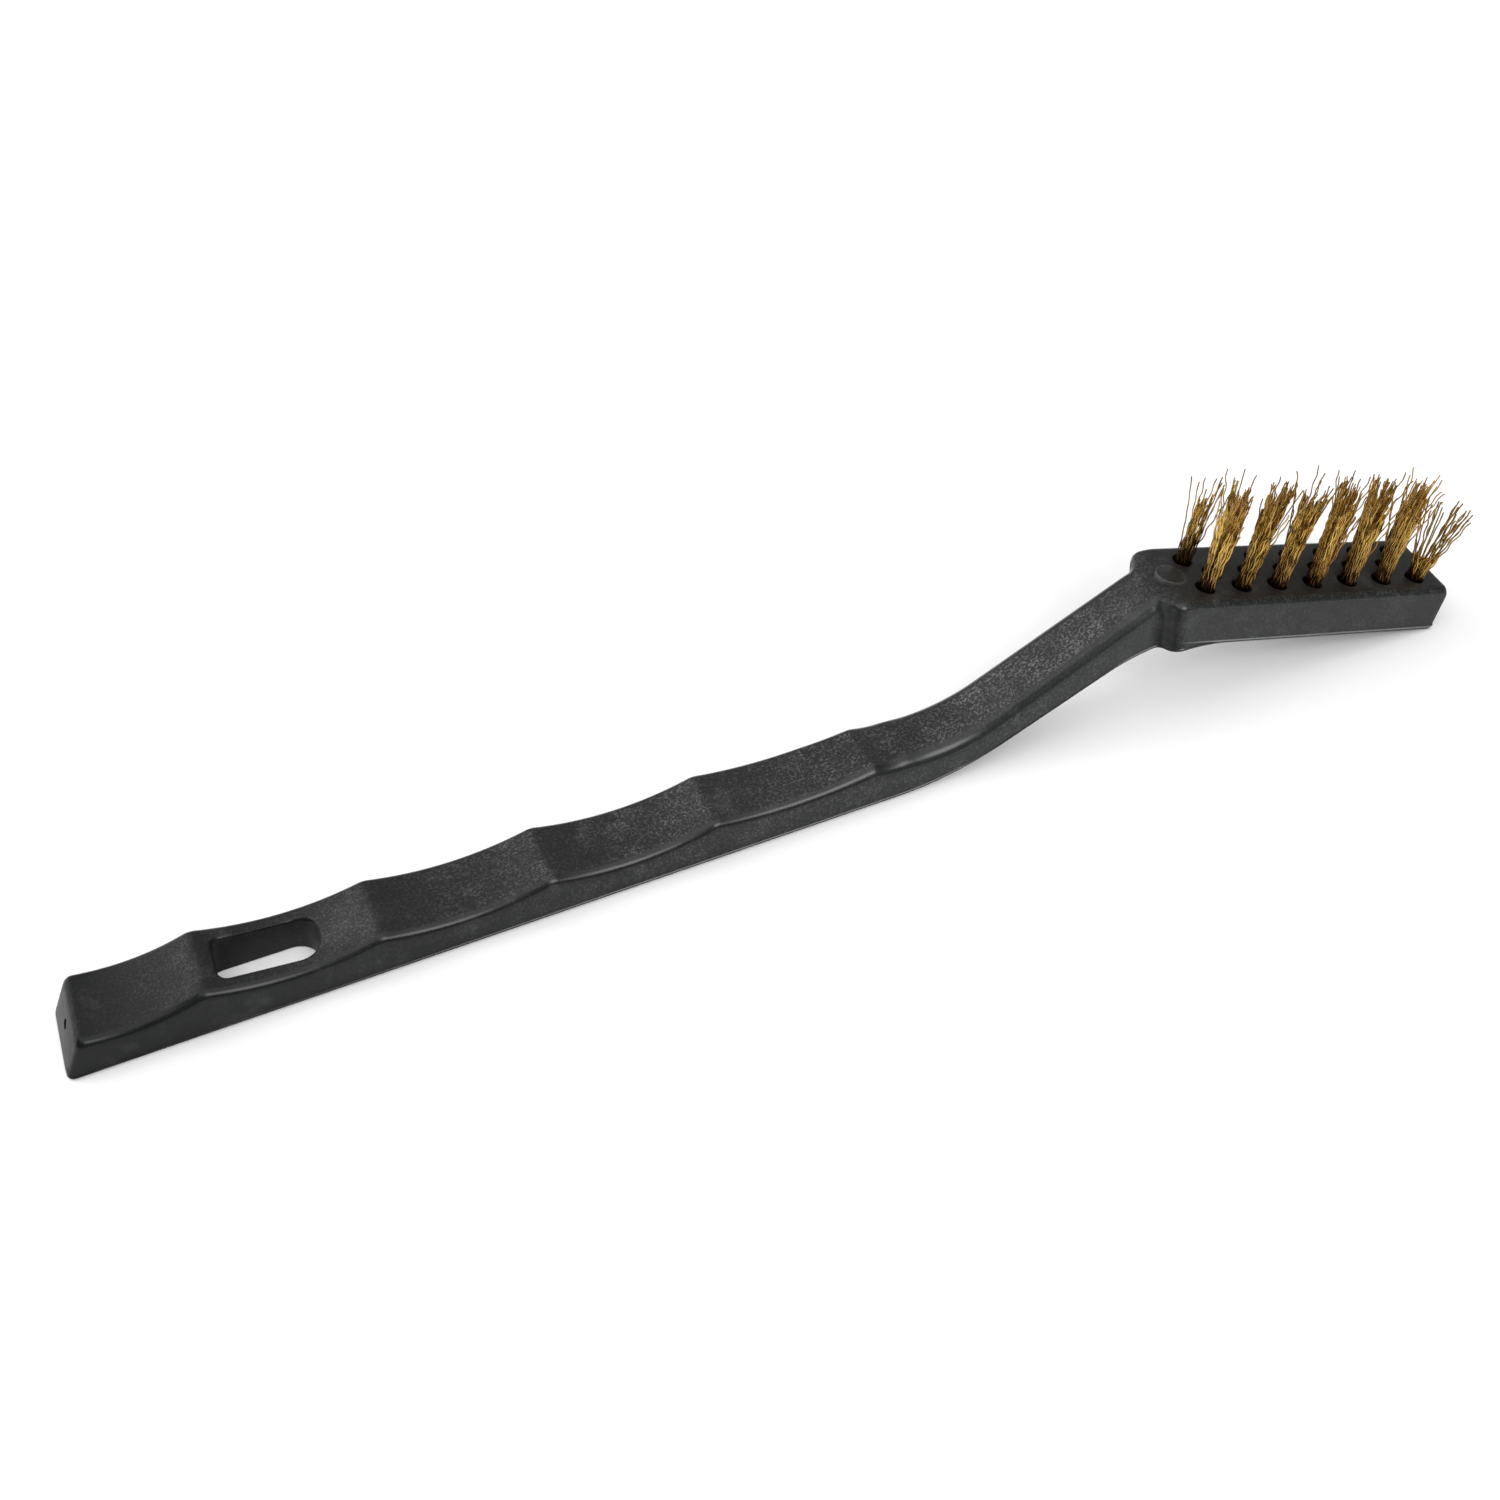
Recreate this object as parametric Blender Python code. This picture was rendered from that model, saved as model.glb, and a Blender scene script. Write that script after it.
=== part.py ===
"""Brass wire brush with a one-piece moulded handle.

The brush is put together as the real one is. The handle is a single polypropylene moulding: a flat underside,
vertical sides, a top scalloped by finger hollows, a hanging slot, and a neck that rises to a head tilted tip down.
Each blind hole in the head holds a tuft of crimped brass wire, folded over a flat anchor driven across the hole.

Metres, +Z up. +X runs from the hanging end to the head, and the origin is the middle of the flat underside.
Lengths along the handle are measured from the upper edge of the hanging end.
"""
import math
import random

import bmesh
import bpy
import numpy as np
from mathutils import Matrix, Vector

# Shank, the part that is held
END_HEIGHT = 0.00575
END_SLANT = 0.003
END_WIDTH = 0.0116
END_CORNER_RADIUS = 0.0011
END_UNDER_RADIUS = 0.0009
NECK_WIDTH = 0.0083

# Finger hollows between the cross ridges
RIDGE_START = 0.0149
RIDGE_PITCH = 0.021
RIDGE_HEIGHT = 0.00605
RIDGE_HEIGHT_SHARES = (1.12, 1.0, 1.0, 1.01, 0.99)
RIDGE_RADIUS = 0.0026
END_HOLLOW_DEPTH = 0.0011
HOLLOW_DEPTH = 0.0015
HOLLOW_DEPTH_SHARES = (1.0, 0.95, 1.0, 0.64)
LAST_CREST_AFTER_RIDGE = 0.0045
LAST_CREST_HEIGHT = 0.0056
LAST_HOLLOW_DEPTH = 0.0002

# Hanging slot, square towards the end and round towards the head. Its core draws out downwards and to the end.
SLOT_START = 0.0169
SLOT_LENGTH = 0.0124
SLOT_WIDTH = 0.0063
SLOT_DRAFT = 0.0001
SLOT_LEAN = 0.001
SLOT_NEAR_RADIUS = 0.0012
SLOT_FAR_RADIUS = 0.0028

# Neck
FLAT_AFTER_RIDGES = 0.0026
NECK_DIP_LENGTH = 0.0071
NECK_DIP_HEIGHT = 0.00535
NECK_TOP_ANGLE = math.radians(25.8)
NECK_TOP_RADIUS = 0.023
NECK_UNDER_ANGLE = math.radians(23.0)
NECK_UNDER_RADIUS = 0.038
CREST_TOP_RADIUS = 0.008
CREST_UNDER_RADIUS = 0.023

# Head
HEAD_TILT = math.radians(17.7)
HEAD_THICKNESS = 0.0065
HOLES_AFTER_RIDGES = 0.04555
SHOULDER_BEFORE_HOLES = 0.0067
SHOULDER_LENGTH = 0.0012
SHOULDER_WIDTH = 0.0127
SHOULDER_RADIUS = 0.002
SHOULDER_FILLET = 0.0006
TIP_MARGIN = 0.0041
TIP_WIDTH = 0.0121
TIP_RADIUS = 0.0008

# Marks that the mould leaves: a pad over an ejector pin on the head, and the gate's scar in the hanging end
EJECTOR_PAD_DIAMETER = 0.0042
EJECTOR_PAD_HEIGHT = 0.00012
EJECTOR_PAD_BEFORE_HOLES = 0.0035
GATE_SCAR_DIAMETER = 0.0013
GATE_SCAR_DEPTH = 0.0002
GATE_SCAR_HEIGHT_SHARE = 0.6

# Rounding of the moulding's edges
SHANK_EDGE_RADIUS = 0.00055
NECK_EDGE_RADIUS = 0.0019
HEAD_EDGE_RADIUS = 0.0009
UNDER_EDGE_RADIUS = 0.0005

# Holes for the tufts, in two outer rows and a middle row that is half a pitch off
HOLE_PITCH = 0.00552
ROW_SPACING = 0.0029
OUTER_ROW_HOLES = 7
HOLE_DIAMETER = 0.0026
HOLE_DEPTH = 0.0045
CLEARANCE = 0.0003

# Tufts of brass wire
TUFT_HEIGHT = 0.0118
ROOT_RECESS = 0.0006
ROOT_SIDES = 10
STRANDS = 16
STRAND_RADIUS = 0.00013
STRAND_SIDES = 3
STRAND_ROOTING = 0.0004
RING_SHARES = (0.36, 0.7, 1.0)
CRIMP = 0.00016
TUFT_SPREAD_SHARE = 0.85
TUFT_TRIM_SHARE = 0.16
STRAY_SHARE = 1.17
TUFT_LEAN_SHARE = -0.09
CORNER_TUFT_LEAN_SHARES = (-0.05, -0.15)
CORNER_TUFT_FAN_SHARE = 3.0

# Anchors, flat brass wire pushed across the holes
ANCHOR_THICKNESS = 0.00035
ANCHOR_HEIGHT = 0.0013
FOLD_THICKNESS = 0.0005

# Modelling
OVERRUN = 0.002
CURVE_STEP = math.radians(6.0)
SMOOTH_ANGLE = math.radians(40.0)
HOLLOW_STEPS = 12
EDGE_SEGMENTS = 3
SECTION_GAP = 0.00012
HOLE_SIDES = 16
MARK_SIDES = 32
SEED = 7

LAST_RIDGE_AT = RIDGE_START + (len(RIDGE_HEIGHT_SHARES) - 1) * RIDGE_PITCH
UNDERSIDE_LENGTH = LAST_RIDGE_AT + FLAT_AFTER_RIDGES
FIRST_HOLE_AT = LAST_RIDGE_AT + HOLES_AFTER_RIDGES
OUTER_ROW_LENGTH = (OUTER_ROW_HOLES - 1) * HOLE_PITCH
TIP_AT = OUTER_ROW_LENGTH + TIP_MARGIN
NECK_END_AT = FIRST_HOLE_AT - SHOULDER_BEFORE_HOLES
TIP_ROUNDED_OFF = TIP_RADIUS * (math.cos(HEAD_TILT) + math.sin(HEAD_TILT) - 1)
FACE_HEIGHT = HEAD_THICKNESS * math.cos(HEAD_TILT) + TIP_AT * math.sin(HEAD_TILT) - TIP_ROUNDED_OFF
ROOT_RADIUS = HOLE_DIAMETER / 2 - CLEARANCE
LEVEL = Vector((1, 0))
ALONG_HEAD = Vector((math.cos(HEAD_TILT), -math.sin(HEAD_TILT)))
OUT_OF_FACE = Vector((math.sin(HEAD_TILT), math.cos(HEAD_TILT)))
FIRST_HOLE = Vector((FIRST_HOLE_AT, FACE_HEIGHT))
HEAD_MATRIX = Matrix.Translation((FIRST_HOLE_AT, 0, FACE_HEIGHT)) @ Matrix.Rotation(HEAD_TILT, 4, "Y")
ROWS = (
    ("front", -ROW_SPACING, OUTER_ROW_HOLES, 0.0),
    ("middle", 0.0, OUTER_ROW_HOLES - 1, HOLE_PITCH / 2),
    ("rear", ROW_SPACING, OUTER_ROW_HOLES, 0.0),
)


def clear_scene():
    """Empty the file without reloading it."""
    for item in list(bpy.data.objects):
        bpy.data.objects.remove(item, do_unlink=True)
    for group in list(bpy.data.collections):
        bpy.data.collections.remove(group)


def new_collection(name):
    group = bpy.data.collections.new(name)
    bpy.context.scene.collection.children.link(group)
    return group


def new_material(name, colour, roughness, metallic):
    """One Principled material."""
    material = bpy.data.materials.new(name)
    material.use_nodes = True
    shader = material.node_tree.nodes["Principled BSDF"]
    shader.inputs["Base Color"].default_value = (*colour, 1.0)
    shader.inputs["Roughness"].default_value = roughness
    shader.inputs["Metallic"].default_value = metallic
    material.diffuse_color = (*colour, 1.0)
    return material


def turn(vector, angle):
    """A 2D direction turned anticlockwise."""
    c = math.cos(angle)
    s = math.sin(angle)
    return Vector((c * vector.x - s * vector.y, s * vector.x + c * vector.y))


def meet(point_a, direction_a, point_b, direction_b):
    """Where two lines of a 2D drawing cross."""
    cross = direction_a.x * direction_b.y - direction_a.y * direction_b.x
    offset = point_b - point_a
    along = (offset.x * direction_b.y - offset.y * direction_b.x) / cross
    return point_a + direction_a * along


def rounded(corners):
    """A closed 2D outline from (point, radius) corners, each radius drawn as an arc tangent to both sides."""
    points = []
    count = len(corners)
    for index, (corner, radius) in enumerate(corners):
        if not radius:
            points.append(corner.copy())
            continue
        back = (corners[index - 1][0] - corner).normalized()
        ahead = (corners[(index + 1) % count][0] - corner).normalized()
        half = back.angle(ahead) / 2
        centre = corner + (back + ahead).normalized() * (radius / math.sin(half))
        start = corner + back * (radius / math.tan(half)) - centre
        sweep = math.pi - 2 * half
        if back.x * ahead.y - back.y * ahead.x > 0:
            sweep = -sweep
        steps = max(2, round(abs(sweep) / CURVE_STEP))
        points.extend(centre + turn(start, sweep * step / steps) for step in range(steps + 1))
    return points


def hollow(start, end, depth, steps):
    """Points of a shallow arc that sags below the chord from start to end, without its two ends."""
    chord = end - start
    half_chord = chord.length / 2
    radius = (half_chord ** 2 + depth ** 2) / (2 * depth)
    half_angle = math.asin(half_chord / radius)
    along = chord.normalized()
    down = turn(along, -math.pi / 2)
    middle = (start + end) / 2
    angles = [half_angle * (2 * step / steps - 1) for step in range(1, steps)]
    return [
        middle + along * radius * math.sin(angle) + down * (radius * math.cos(angle) - radius + depth)
        for angle in angles
    ]


def hollowed_top():
    """Corners of the top surface from the hanging end to the dip before the neck."""
    end_top = Vector((0, END_HEIGHT))
    ridges = [
        Vector((RIDGE_START + index * RIDGE_PITCH, RIDGE_HEIGHT * share))
        for index, share in enumerate(RIDGE_HEIGHT_SHARES)
    ]
    corners = [(end_top, 0)]
    corners += [(point, 0) for point in hollow(end_top, ridges[0], END_HOLLOW_DEPTH, HOLLOW_STEPS)]
    for ridge, following, share in zip(ridges, ridges[1:], HOLLOW_DEPTH_SHARES):
        corners.append((ridge, RIDGE_RADIUS))
        corners += [(point, 0) for point in hollow(ridge, following, HOLLOW_DEPTH * share, HOLLOW_STEPS)]
    last = ridges[-1]
    crest = Vector((last.x + LAST_CREST_AFTER_RIDGE, LAST_CREST_HEIGHT))
    corners.append((last, RIDGE_RADIUS))
    corners += [(point, 0) for point in hollow(last, crest, LAST_HOLLOW_DEPTH, HOLLOW_STEPS)]
    corners.append((crest, RIDGE_RADIUS))
    dip_at = last.x + NECK_DIP_LENGTH
    dip = hollow(crest, Vector((2 * dip_at - crest.x, crest.y)), crest.y - NECK_DIP_HEIGHT, HOLLOW_STEPS)
    corners += [(point, 0) for point in dip[:HOLLOW_STEPS // 2 - 1]]
    return corners, dip_at


def top_line():
    """Top of the handle in side view, X and Z: finger hollows, S-shaped neck and tilted face of the head."""
    corners, dip_at = hollowed_top()
    bend = Vector((dip_at + NECK_TOP_RADIUS * math.tan(NECK_TOP_ANGLE / 2), NECK_DIP_HEIGHT))
    crest = meet(bend, turn(LEVEL, NECK_TOP_ANGLE), FIRST_HOLE, ALONG_HEAD)
    corners += [(bend, NECK_TOP_RADIUS), (crest, CREST_TOP_RADIUS), (FIRST_HOLE + ALONG_HEAD * TIP_AT, 0)]
    return rounded(corners)


def underside_line():
    """Underside of the handle in side view: flat under the shank, then parallel to the face of the head."""
    tip = FIRST_HOLE + ALONG_HEAD * TIP_AT - OUT_OF_FACE * HEAD_THICKNESS
    bend = Vector((UNDERSIDE_LENGTH + NECK_UNDER_RADIUS * math.tan(NECK_UNDER_ANGLE / 2), 0))
    crest = meet(bend, turn(LEVEL, NECK_UNDER_ANGLE), tip, ALONG_HEAD)
    return rounded([
        (Vector((-END_SLANT, 0)), 0),
        (bend, NECK_UNDER_RADIUS),
        (crest, CREST_UNDER_RADIUS),
        (tip, 0),
    ])


def side_line():
    """Half the handle's plan: a shank that narrows to the neck, then the shoulder and the side of the head."""
    return rounded([
        (Vector((-END_SLANT, END_WIDTH / 2)), 0),
        (Vector((NECK_END_AT, NECK_WIDTH / 2)), SHOULDER_FILLET),
        (Vector((NECK_END_AT + SHOULDER_LENGTH, SHOULDER_WIDTH / 2)), SHOULDER_RADIUS),
        (Vector((FIRST_HOLE_AT + TIP_AT, TIP_WIDTH / 2)), 0),
    ])


def slot_outline(grown):
    """Plan of the hanging slot, widened evenly."""
    half = SLOT_WIDTH / 2 + grown
    near = SLOT_START - grown
    far = SLOT_START + SLOT_LENGTH + grown
    return rounded([
        (Vector((near, -half)), SLOT_NEAR_RADIUS + grown),
        (Vector((far, -half)), SLOT_FAR_RADIUS + grown),
        (Vector((far, half)), SLOT_FAR_RADIUS + grown),
        (Vector((near, half)), SLOT_NEAR_RADIUS + grown),
    ])


def mesh_object(name, shape, group):
    """An object from a finished bmesh."""
    mesh = bpy.data.meshes.new(name)
    shape.to_mesh(mesh)
    shape.free()
    solid = bpy.data.objects.new(name, mesh)
    group.objects.link(solid)
    return solid


def shade_round(solid):
    """Smooth shading on what is round, with the real edges left crisp."""
    solid.data.shade_smooth()
    solid.data.set_sharp_from_angle(angle=SMOOTH_ANGLE)


def boolean(target, tool, operation):
    """A Boolean modifier that stays on its object, its tool hidden from view."""
    step = target.modifiers.new(tool.name, "BOOLEAN")
    step.operation = operation
    step.object = tool
    step.solver = "EXACT"
    tool.hide_render = True
    tool.display_type = "WIRE"


def rounding_steps(radius):
    """Distances from an end at which its rounding gets a section."""
    return [radius * (1 - math.cos(math.pi / 2 * step / EDGE_SEGMENTS)) for step in range(EDGE_SEGMENTS + 1)]


def end_inset(distance, radius):
    """How far a rounding draws the outline in, at a distance from the end that it rounds."""
    if distance >= radius:
        return 0
    return radius - math.sqrt(radius ** 2 - (radius - distance) ** 2)


def value_at(line, along):
    """Second coordinate of a line in side view or plan, at a place along the handle."""
    return float(np.interp(along, [point.x for point in line], [point.y for point in line]))


def top_edge_radius(along):
    """Rounding of the two upper edges: crisp on the shank, soft on the neck, firmer again on the head."""
    neck_start = UNDERSIDE_LENGTH + NECK_DIP_LENGTH
    places = (neck_start, neck_start + 2 * NECK_DIP_LENGTH, NECK_END_AT, NECK_END_AT + SHOULDER_LENGTH)
    return float(np.interp(along, places, (SHANK_EDGE_RADIUS, NECK_EDGE_RADIUS, NECK_EDGE_RADIUS, HEAD_EDGE_RADIUS)))


def section(along, top, under, side):
    """Ring of points round the handle: a rectangle with its own rounding above and below.

    Its plane leans with the slanted hanging end and with the tilted head, and is upright between them.
    """
    tip = top[-1].x
    into_end = max(1 - along / RIDGE_START, 0)
    into_head = max((along - NECK_END_AT) / (tip - NECK_END_AT), 0)
    foot_at = along - END_SLANT * into_end - HEAD_THICKNESS * math.sin(HEAD_TILT) * into_head
    foot = Vector((foot_at, value_at(under, foot_at)))
    crown = Vector((along, value_at(top, along)))
    upward = (crown - foot).normalized()
    drawn_in = end_inset(along, END_CORNER_RADIUS) + end_inset(tip - along, TIP_RADIUS)
    raised = end_inset(along, END_UNDER_RADIUS) + end_inset(tip - along, TIP_RADIUS)
    lowered = end_inset(along, SHANK_EDGE_RADIUS) + end_inset(tip - along, TIP_RADIUS)
    above = top_edge_radius(along)
    below = UNDER_EDGE_RADIUS
    upper = (crown - foot).length - lowered - above
    lower = raised + below
    corners = ((1, upper, above), (-1, upper, above), (-1, lower, below), (1, lower, below))
    ring = []
    for quarter, (hand, level, radius) in enumerate(corners):
        for step in range(EDGE_SEGMENTS + 1):
            angle = math.pi / 2 * (quarter + step / EDGE_SEGMENTS)
            place = foot + upward * (level + radius * math.sin(angle))
            half_width = value_at(side, place.x) - drawn_in
            ring.append(Vector((place.x, hand * (half_width - radius) + radius * math.cos(angle), place.y)))
    return ring


def lofted(rings):
    """A closed solid through rings of points, its two end rings filled."""
    shape = bmesh.new()
    rows = [[shape.verts.new(point) for point in ring] for ring in rings]
    for row, following in zip(rows, rows[1:]):
        for index in range(len(row)):
            shape.faces.new((row[index - 1], row[index], following[index], following[index - 1]))
    shape.faces.new(rows[0])
    shape.faces.new(rows[-1])
    bmesh.ops.recalc_face_normals(shape, faces=shape.faces)
    return shape


def moulding(group):
    """The handle's outer form, lofted through its sections."""
    top = top_line()
    under = underside_line()
    side = side_line()
    tip = top[-1].x
    places = [point.x for point in top]
    places += [point.x for point in under + side if UNDERSIDE_LENGTH < point.x < tip - TIP_RADIUS]
    places += rounding_steps(END_CORNER_RADIUS) + rounding_steps(SHANK_EDGE_RADIUS)
    places += [tip - distance for distance in rounding_steps(TIP_RADIUS)]
    stations = []
    for place in sorted(places):
        if not stations or place - stations[-1] > SECTION_GAP:
            stations.append(place)
    stations[-1] = tip
    handle = mesh_object("handle", lofted([section(place, top, under, side) for place in stations]), group)
    shade_round(handle)
    return handle


def hole_places():
    """Name of each tuft hole and its place on the head's face."""
    for row, across, count, shift in ROWS:
        for index in range(count):
            yield f"{row}_{index + 1}", Vector((shift + index * HOLE_PITCH, across, 0))


def round_bar(shape, diameter, low, high, sides, matrix):
    """A round bar between two levels of its own Z, added to a mesh."""
    middle = Matrix.Translation((0, 0, (low + high) / 2))
    bmesh.ops.create_cone(
        shape, cap_ends=True, segments=sides, radius1=diameter / 2, radius2=diameter / 2,
        depth=high - low, matrix=matrix @ middle,
    )


def slot_cutter(cutters):
    """The core of the hanging slot, which narrows upwards and leans towards the head."""
    rings = []
    for level in (-OVERRUN, END_HEIGHT + OVERRUN):
        below_top = 1 - level / END_HEIGHT
        outline = slot_outline(SLOT_DRAFT * below_top)
        rings.append([Vector((place.x - SLOT_LEAN * below_top, place.y, level)) for place in outline])
    return mesh_object("hanging_slot", lofted(rings), cutters)


def hole_cutters(cutters):
    """All the blind holes as one cutter, square to the head's face."""
    shape = bmesh.new()
    for _, place in hole_places():
        round_bar(shape, HOLE_DIAMETER, -HOLE_DEPTH, OVERRUN, HOLE_SIDES, HEAD_MATRIX @ Matrix.Translation(place))
    return mesh_object("tuft_holes", shape, cutters)


def ejector_pad(cutters):
    """The low round pad that an ejector pin leaves on the head's face, before the first holes."""
    shape = bmesh.new()
    place = Matrix.Translation((-EJECTOR_PAD_BEFORE_HOLES, 0, 0))
    round_bar(shape, EJECTOR_PAD_DIAMETER, -OVERRUN, EJECTOR_PAD_HEIGHT, MARK_SIDES, HEAD_MATRIX @ place)
    return mesh_object("ejector_pad", shape, cutters)


def gate_scar(cutters):
    """The small pit in the hanging end where the plastic entered the mould and was broken off."""
    shape = bmesh.new()
    up_the_end = Vector((END_SLANT, 0, END_HEIGHT))
    place = Matrix.Translation(up_the_end * GATE_SCAR_HEIGHT_SHARE - Vector((END_SLANT, 0, 0)))
    outward = Matrix.Rotation(math.atan2(END_SLANT, END_HEIGHT) - math.pi / 2, 4, "Y")
    round_bar(shape, GATE_SCAR_DIAMETER, -GATE_SCAR_DEPTH, OVERRUN, MARK_SIDES, place @ outward)
    return mesh_object("gate_scar", shape, cutters)


def make_handle(parts, cutters, material):
    """The moulded handle: its outer form with the slot, the holes and the mould's marks."""
    handle = moulding(parts)
    boolean(handle, slot_cutter(cutters), "DIFFERENCE")
    boolean(handle, hole_cutters(cutters), "DIFFERENCE")
    boolean(handle, gate_scar(cutters), "DIFFERENCE")
    boolean(handle, ejector_pad(cutters), "UNION")
    handle.data.materials.append(material)
    return handle


def strand_roots():
    """Even places over the root of a tuft, on a spiral of golden angles."""
    reach = ROOT_RADIUS - 2 * STRAND_RADIUS
    golden = math.pi * (3 - math.sqrt(5))
    return [
        Vector((math.cos(index * golden), math.sin(index * golden), 0)) * reach * math.sqrt((index + 0.5) / STRANDS)
        for index in range(STRANDS)
    ]


def tuft_lean(name):
    """Lean along and across the head, and spread: the tuft at the front corner of the tip is splayed by use."""
    if name == f"front_{OUTER_ROW_HOLES}":
        return Vector((*CORNER_TUFT_LEAN_SHARES, 0)), CORNER_TUFT_FAN_SHARE
    return Vector((TUFT_LEAN_SHARE, 0, 0)), 1


def wire_strands(name, draw):
    """The free wires of one tuft: bundled at the root, fanning out evenly, so that none cross."""
    shape = bmesh.new()
    lean, fan = tuft_lean(name)
    foot = ROOT_RECESS + STRAND_ROOTING
    for index, root in enumerate(strand_roots()):
        length = TUFT_HEIGHT * (1 - TUFT_TRIM_SHARE * draw.random())
        if index == STRANDS - 1:
            length = TUFT_HEIGHT * STRAY_SHARE
        made = bmesh.ops.create_cone(
            shape, cap_ends=True, segments=STRAND_SIDES, radius1=STRAND_RADIUS, radius2=STRAND_RADIUS,
            depth=2 * foot, matrix=Matrix.Translation(root),
        )
        faces = {face for vertex in made["verts"] for face in vertex.link_faces}
        end_face = max(faces, key=lambda face: face.calc_center_median().z)
        reached = root + Vector((0, 0, foot))
        for ring, share in enumerate(RING_SHARES):
            height = length * share
            crimp = -CRIMP if ring % 2 else CRIMP
            place = root * (1 + TUFT_SPREAD_SHARE * fan * share) + lean * height
            place += Vector((crimp, crimp / 2, height))
            end_face = bmesh.ops.extrude_discrete_faces(shape, faces=[end_face])["faces"][0]
            bmesh.ops.translate(shape, vec=place - reached, verts=end_face.verts)
            reached = place
    return shape


def anchor_middle():
    """Depth of an anchor's middle below the face: it rests in the fold at the bottom of the hole."""
    return -HOLE_DEPTH + CLEARANCE + FOLD_THICKNESS + CLEARANCE + ANCHOR_HEIGHT / 2


def make_tuft(name, place, parts, cutters, material, draw):
    """One tuft: the bundle in its hole, folded round the anchor, with its free wires fused on."""
    matrix = HEAD_MATRIX @ Matrix.Translation(place)
    bundle = bmesh.new()
    round_bar(bundle, 2 * ROOT_RADIUS, CLEARANCE - HOLE_DEPTH, -ROOT_RECESS, ROOT_SIDES, Matrix())
    tuft = mesh_object(f"tuft_{name}", bundle, parts)
    shade_round(tuft)
    tuft.matrix_world = matrix
    fold = bmesh.new()
    room = (ANCHOR_THICKNESS + 2 * CLEARANCE, HOLE_DIAMETER + OVERRUN, ANCHOR_HEIGHT + 2 * CLEARANCE)
    bmesh.ops.create_cube(
        fold, size=1, matrix=Matrix.Translation((0, 0, anchor_middle())) @ Matrix.Diagonal((*room, 1))
    )
    fold_cutter = mesh_object(f"fold_{name}", fold, cutters)
    fold_cutter.matrix_world = matrix
    strands = mesh_object(f"strands_{name}", wire_strands(name, draw), cutters)
    strands.matrix_world = matrix
    boolean(tuft, fold_cutter, "DIFFERENCE")
    boolean(tuft, strands, "UNION")
    tuft.data.materials.append(material)
    return tuft


def make_anchor(name, place, parts, material):
    """The flat wire anchor that holds a tuft's fold at the bottom of its hole."""
    shape = bmesh.new()
    size = (ANCHOR_THICKNESS, HOLE_DIAMETER - 2 * CLEARANCE, ANCHOR_HEIGHT)
    bmesh.ops.create_cube(
        shape, size=1, matrix=Matrix.Translation((0, 0, anchor_middle())) @ Matrix.Diagonal((*size, 1))
    )
    anchor = mesh_object(f"anchor_{name}", shape, parts)
    anchor.matrix_world = HEAD_MATRIX @ Matrix.Translation(place)
    anchor.data.materials.append(material)
    return anchor


def main():
    clear_scene()
    parts = new_collection("brass_wire_brush")
    cutters = new_collection("cutters")
    plastic = new_material("black_polypropylene", (0.024, 0.025, 0.026), 0.5, 0.0)
    brass = new_material("brass_wire", (0.45, 0.27, 0.07), 0.35, 1.0)
    anchor_brass = new_material("anchor_brass", (0.55, 0.38, 0.14), 0.3, 1.0)
    draw = random.Random(SEED)
    make_handle(parts, cutters, plastic)
    for name, place in hole_places():
        make_tuft(name, place, parts, cutters, brass, draw)
        make_anchor(name, place, parts, anchor_brass)
    frame = bpy.data.objects.new("brush_frame", None)
    parts.objects.link(frame)
    for group in (parts, cutters):
        for item in group.objects:
            if item is not frame:
                item.parent = frame
    frame.location.x = -UNDERSIDE_LENGTH / 2
    bpy.context.view_layer.update()


main()
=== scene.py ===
"""Looks of a brass wire brush: a black moulded handle with twenty tufts of crimped brass wire.

The sections follow the brush as it is put together: moulding, anchors and tufts, then the stage round it.
Metres, +Z up, +X from the hanging end to the head. The origin is the middle of the flat underside.
"""
import math
import random

import bmesh
import bpy
import numpy as np
from mathutils import Matrix, Vector


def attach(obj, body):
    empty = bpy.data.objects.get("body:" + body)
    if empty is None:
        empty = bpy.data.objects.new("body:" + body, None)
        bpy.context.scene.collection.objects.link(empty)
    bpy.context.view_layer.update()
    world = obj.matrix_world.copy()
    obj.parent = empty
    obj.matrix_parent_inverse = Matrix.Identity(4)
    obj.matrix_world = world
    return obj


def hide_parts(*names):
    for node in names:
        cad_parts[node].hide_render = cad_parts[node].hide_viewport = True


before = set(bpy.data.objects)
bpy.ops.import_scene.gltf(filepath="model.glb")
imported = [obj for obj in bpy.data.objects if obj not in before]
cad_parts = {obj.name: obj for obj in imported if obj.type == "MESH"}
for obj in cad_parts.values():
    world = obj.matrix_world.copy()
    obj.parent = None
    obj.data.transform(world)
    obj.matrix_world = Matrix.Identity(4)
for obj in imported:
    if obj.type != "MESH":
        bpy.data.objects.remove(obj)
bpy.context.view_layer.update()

# Handle
# One injection moulding in black polypropylene: five cross ridges with finger hollows between them, a neck
# that rises to the head, and the head tilted tip down. It comes out of a two-part mould that closes near its
# underside, so a fine flash line runs along the lower edge.
END_HEIGHT = 0.00575
END_SLANT = 0.003
END_WIDTH = 0.0116
END_CORNER_RADIUS = 0.0011
END_UNDER_RADIUS = 0.0009
END_TOP_RADIUS = 0.0006
NECK_WIDTH = 0.0083

RIDGE_START = 0.0149
RIDGE_PITCH = 0.021
RIDGE_HEIGHT = 0.00605
RIDGE_HEIGHT_SHARES = (1.12, 1.0, 1.0, 1.01, 0.99)
RIDGE_RADIUS = 0.0026
END_HOLLOW_DEPTH = 0.0011
HOLLOW_DEPTH = 0.0015
HOLLOW_DEPTH_SHARES = (1.0, 0.95, 1.0, 0.64)
LAST_CREST_AFTER_RIDGE = 0.0045
LAST_CREST_HEIGHT = 0.0056
LAST_CREST_RADIUS = 0.012
LAST_HOLLOW_DEPTH = 0.0002
LAST_CREST_TRIM = 9
END_HOLLOW_TRIM = 2

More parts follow.
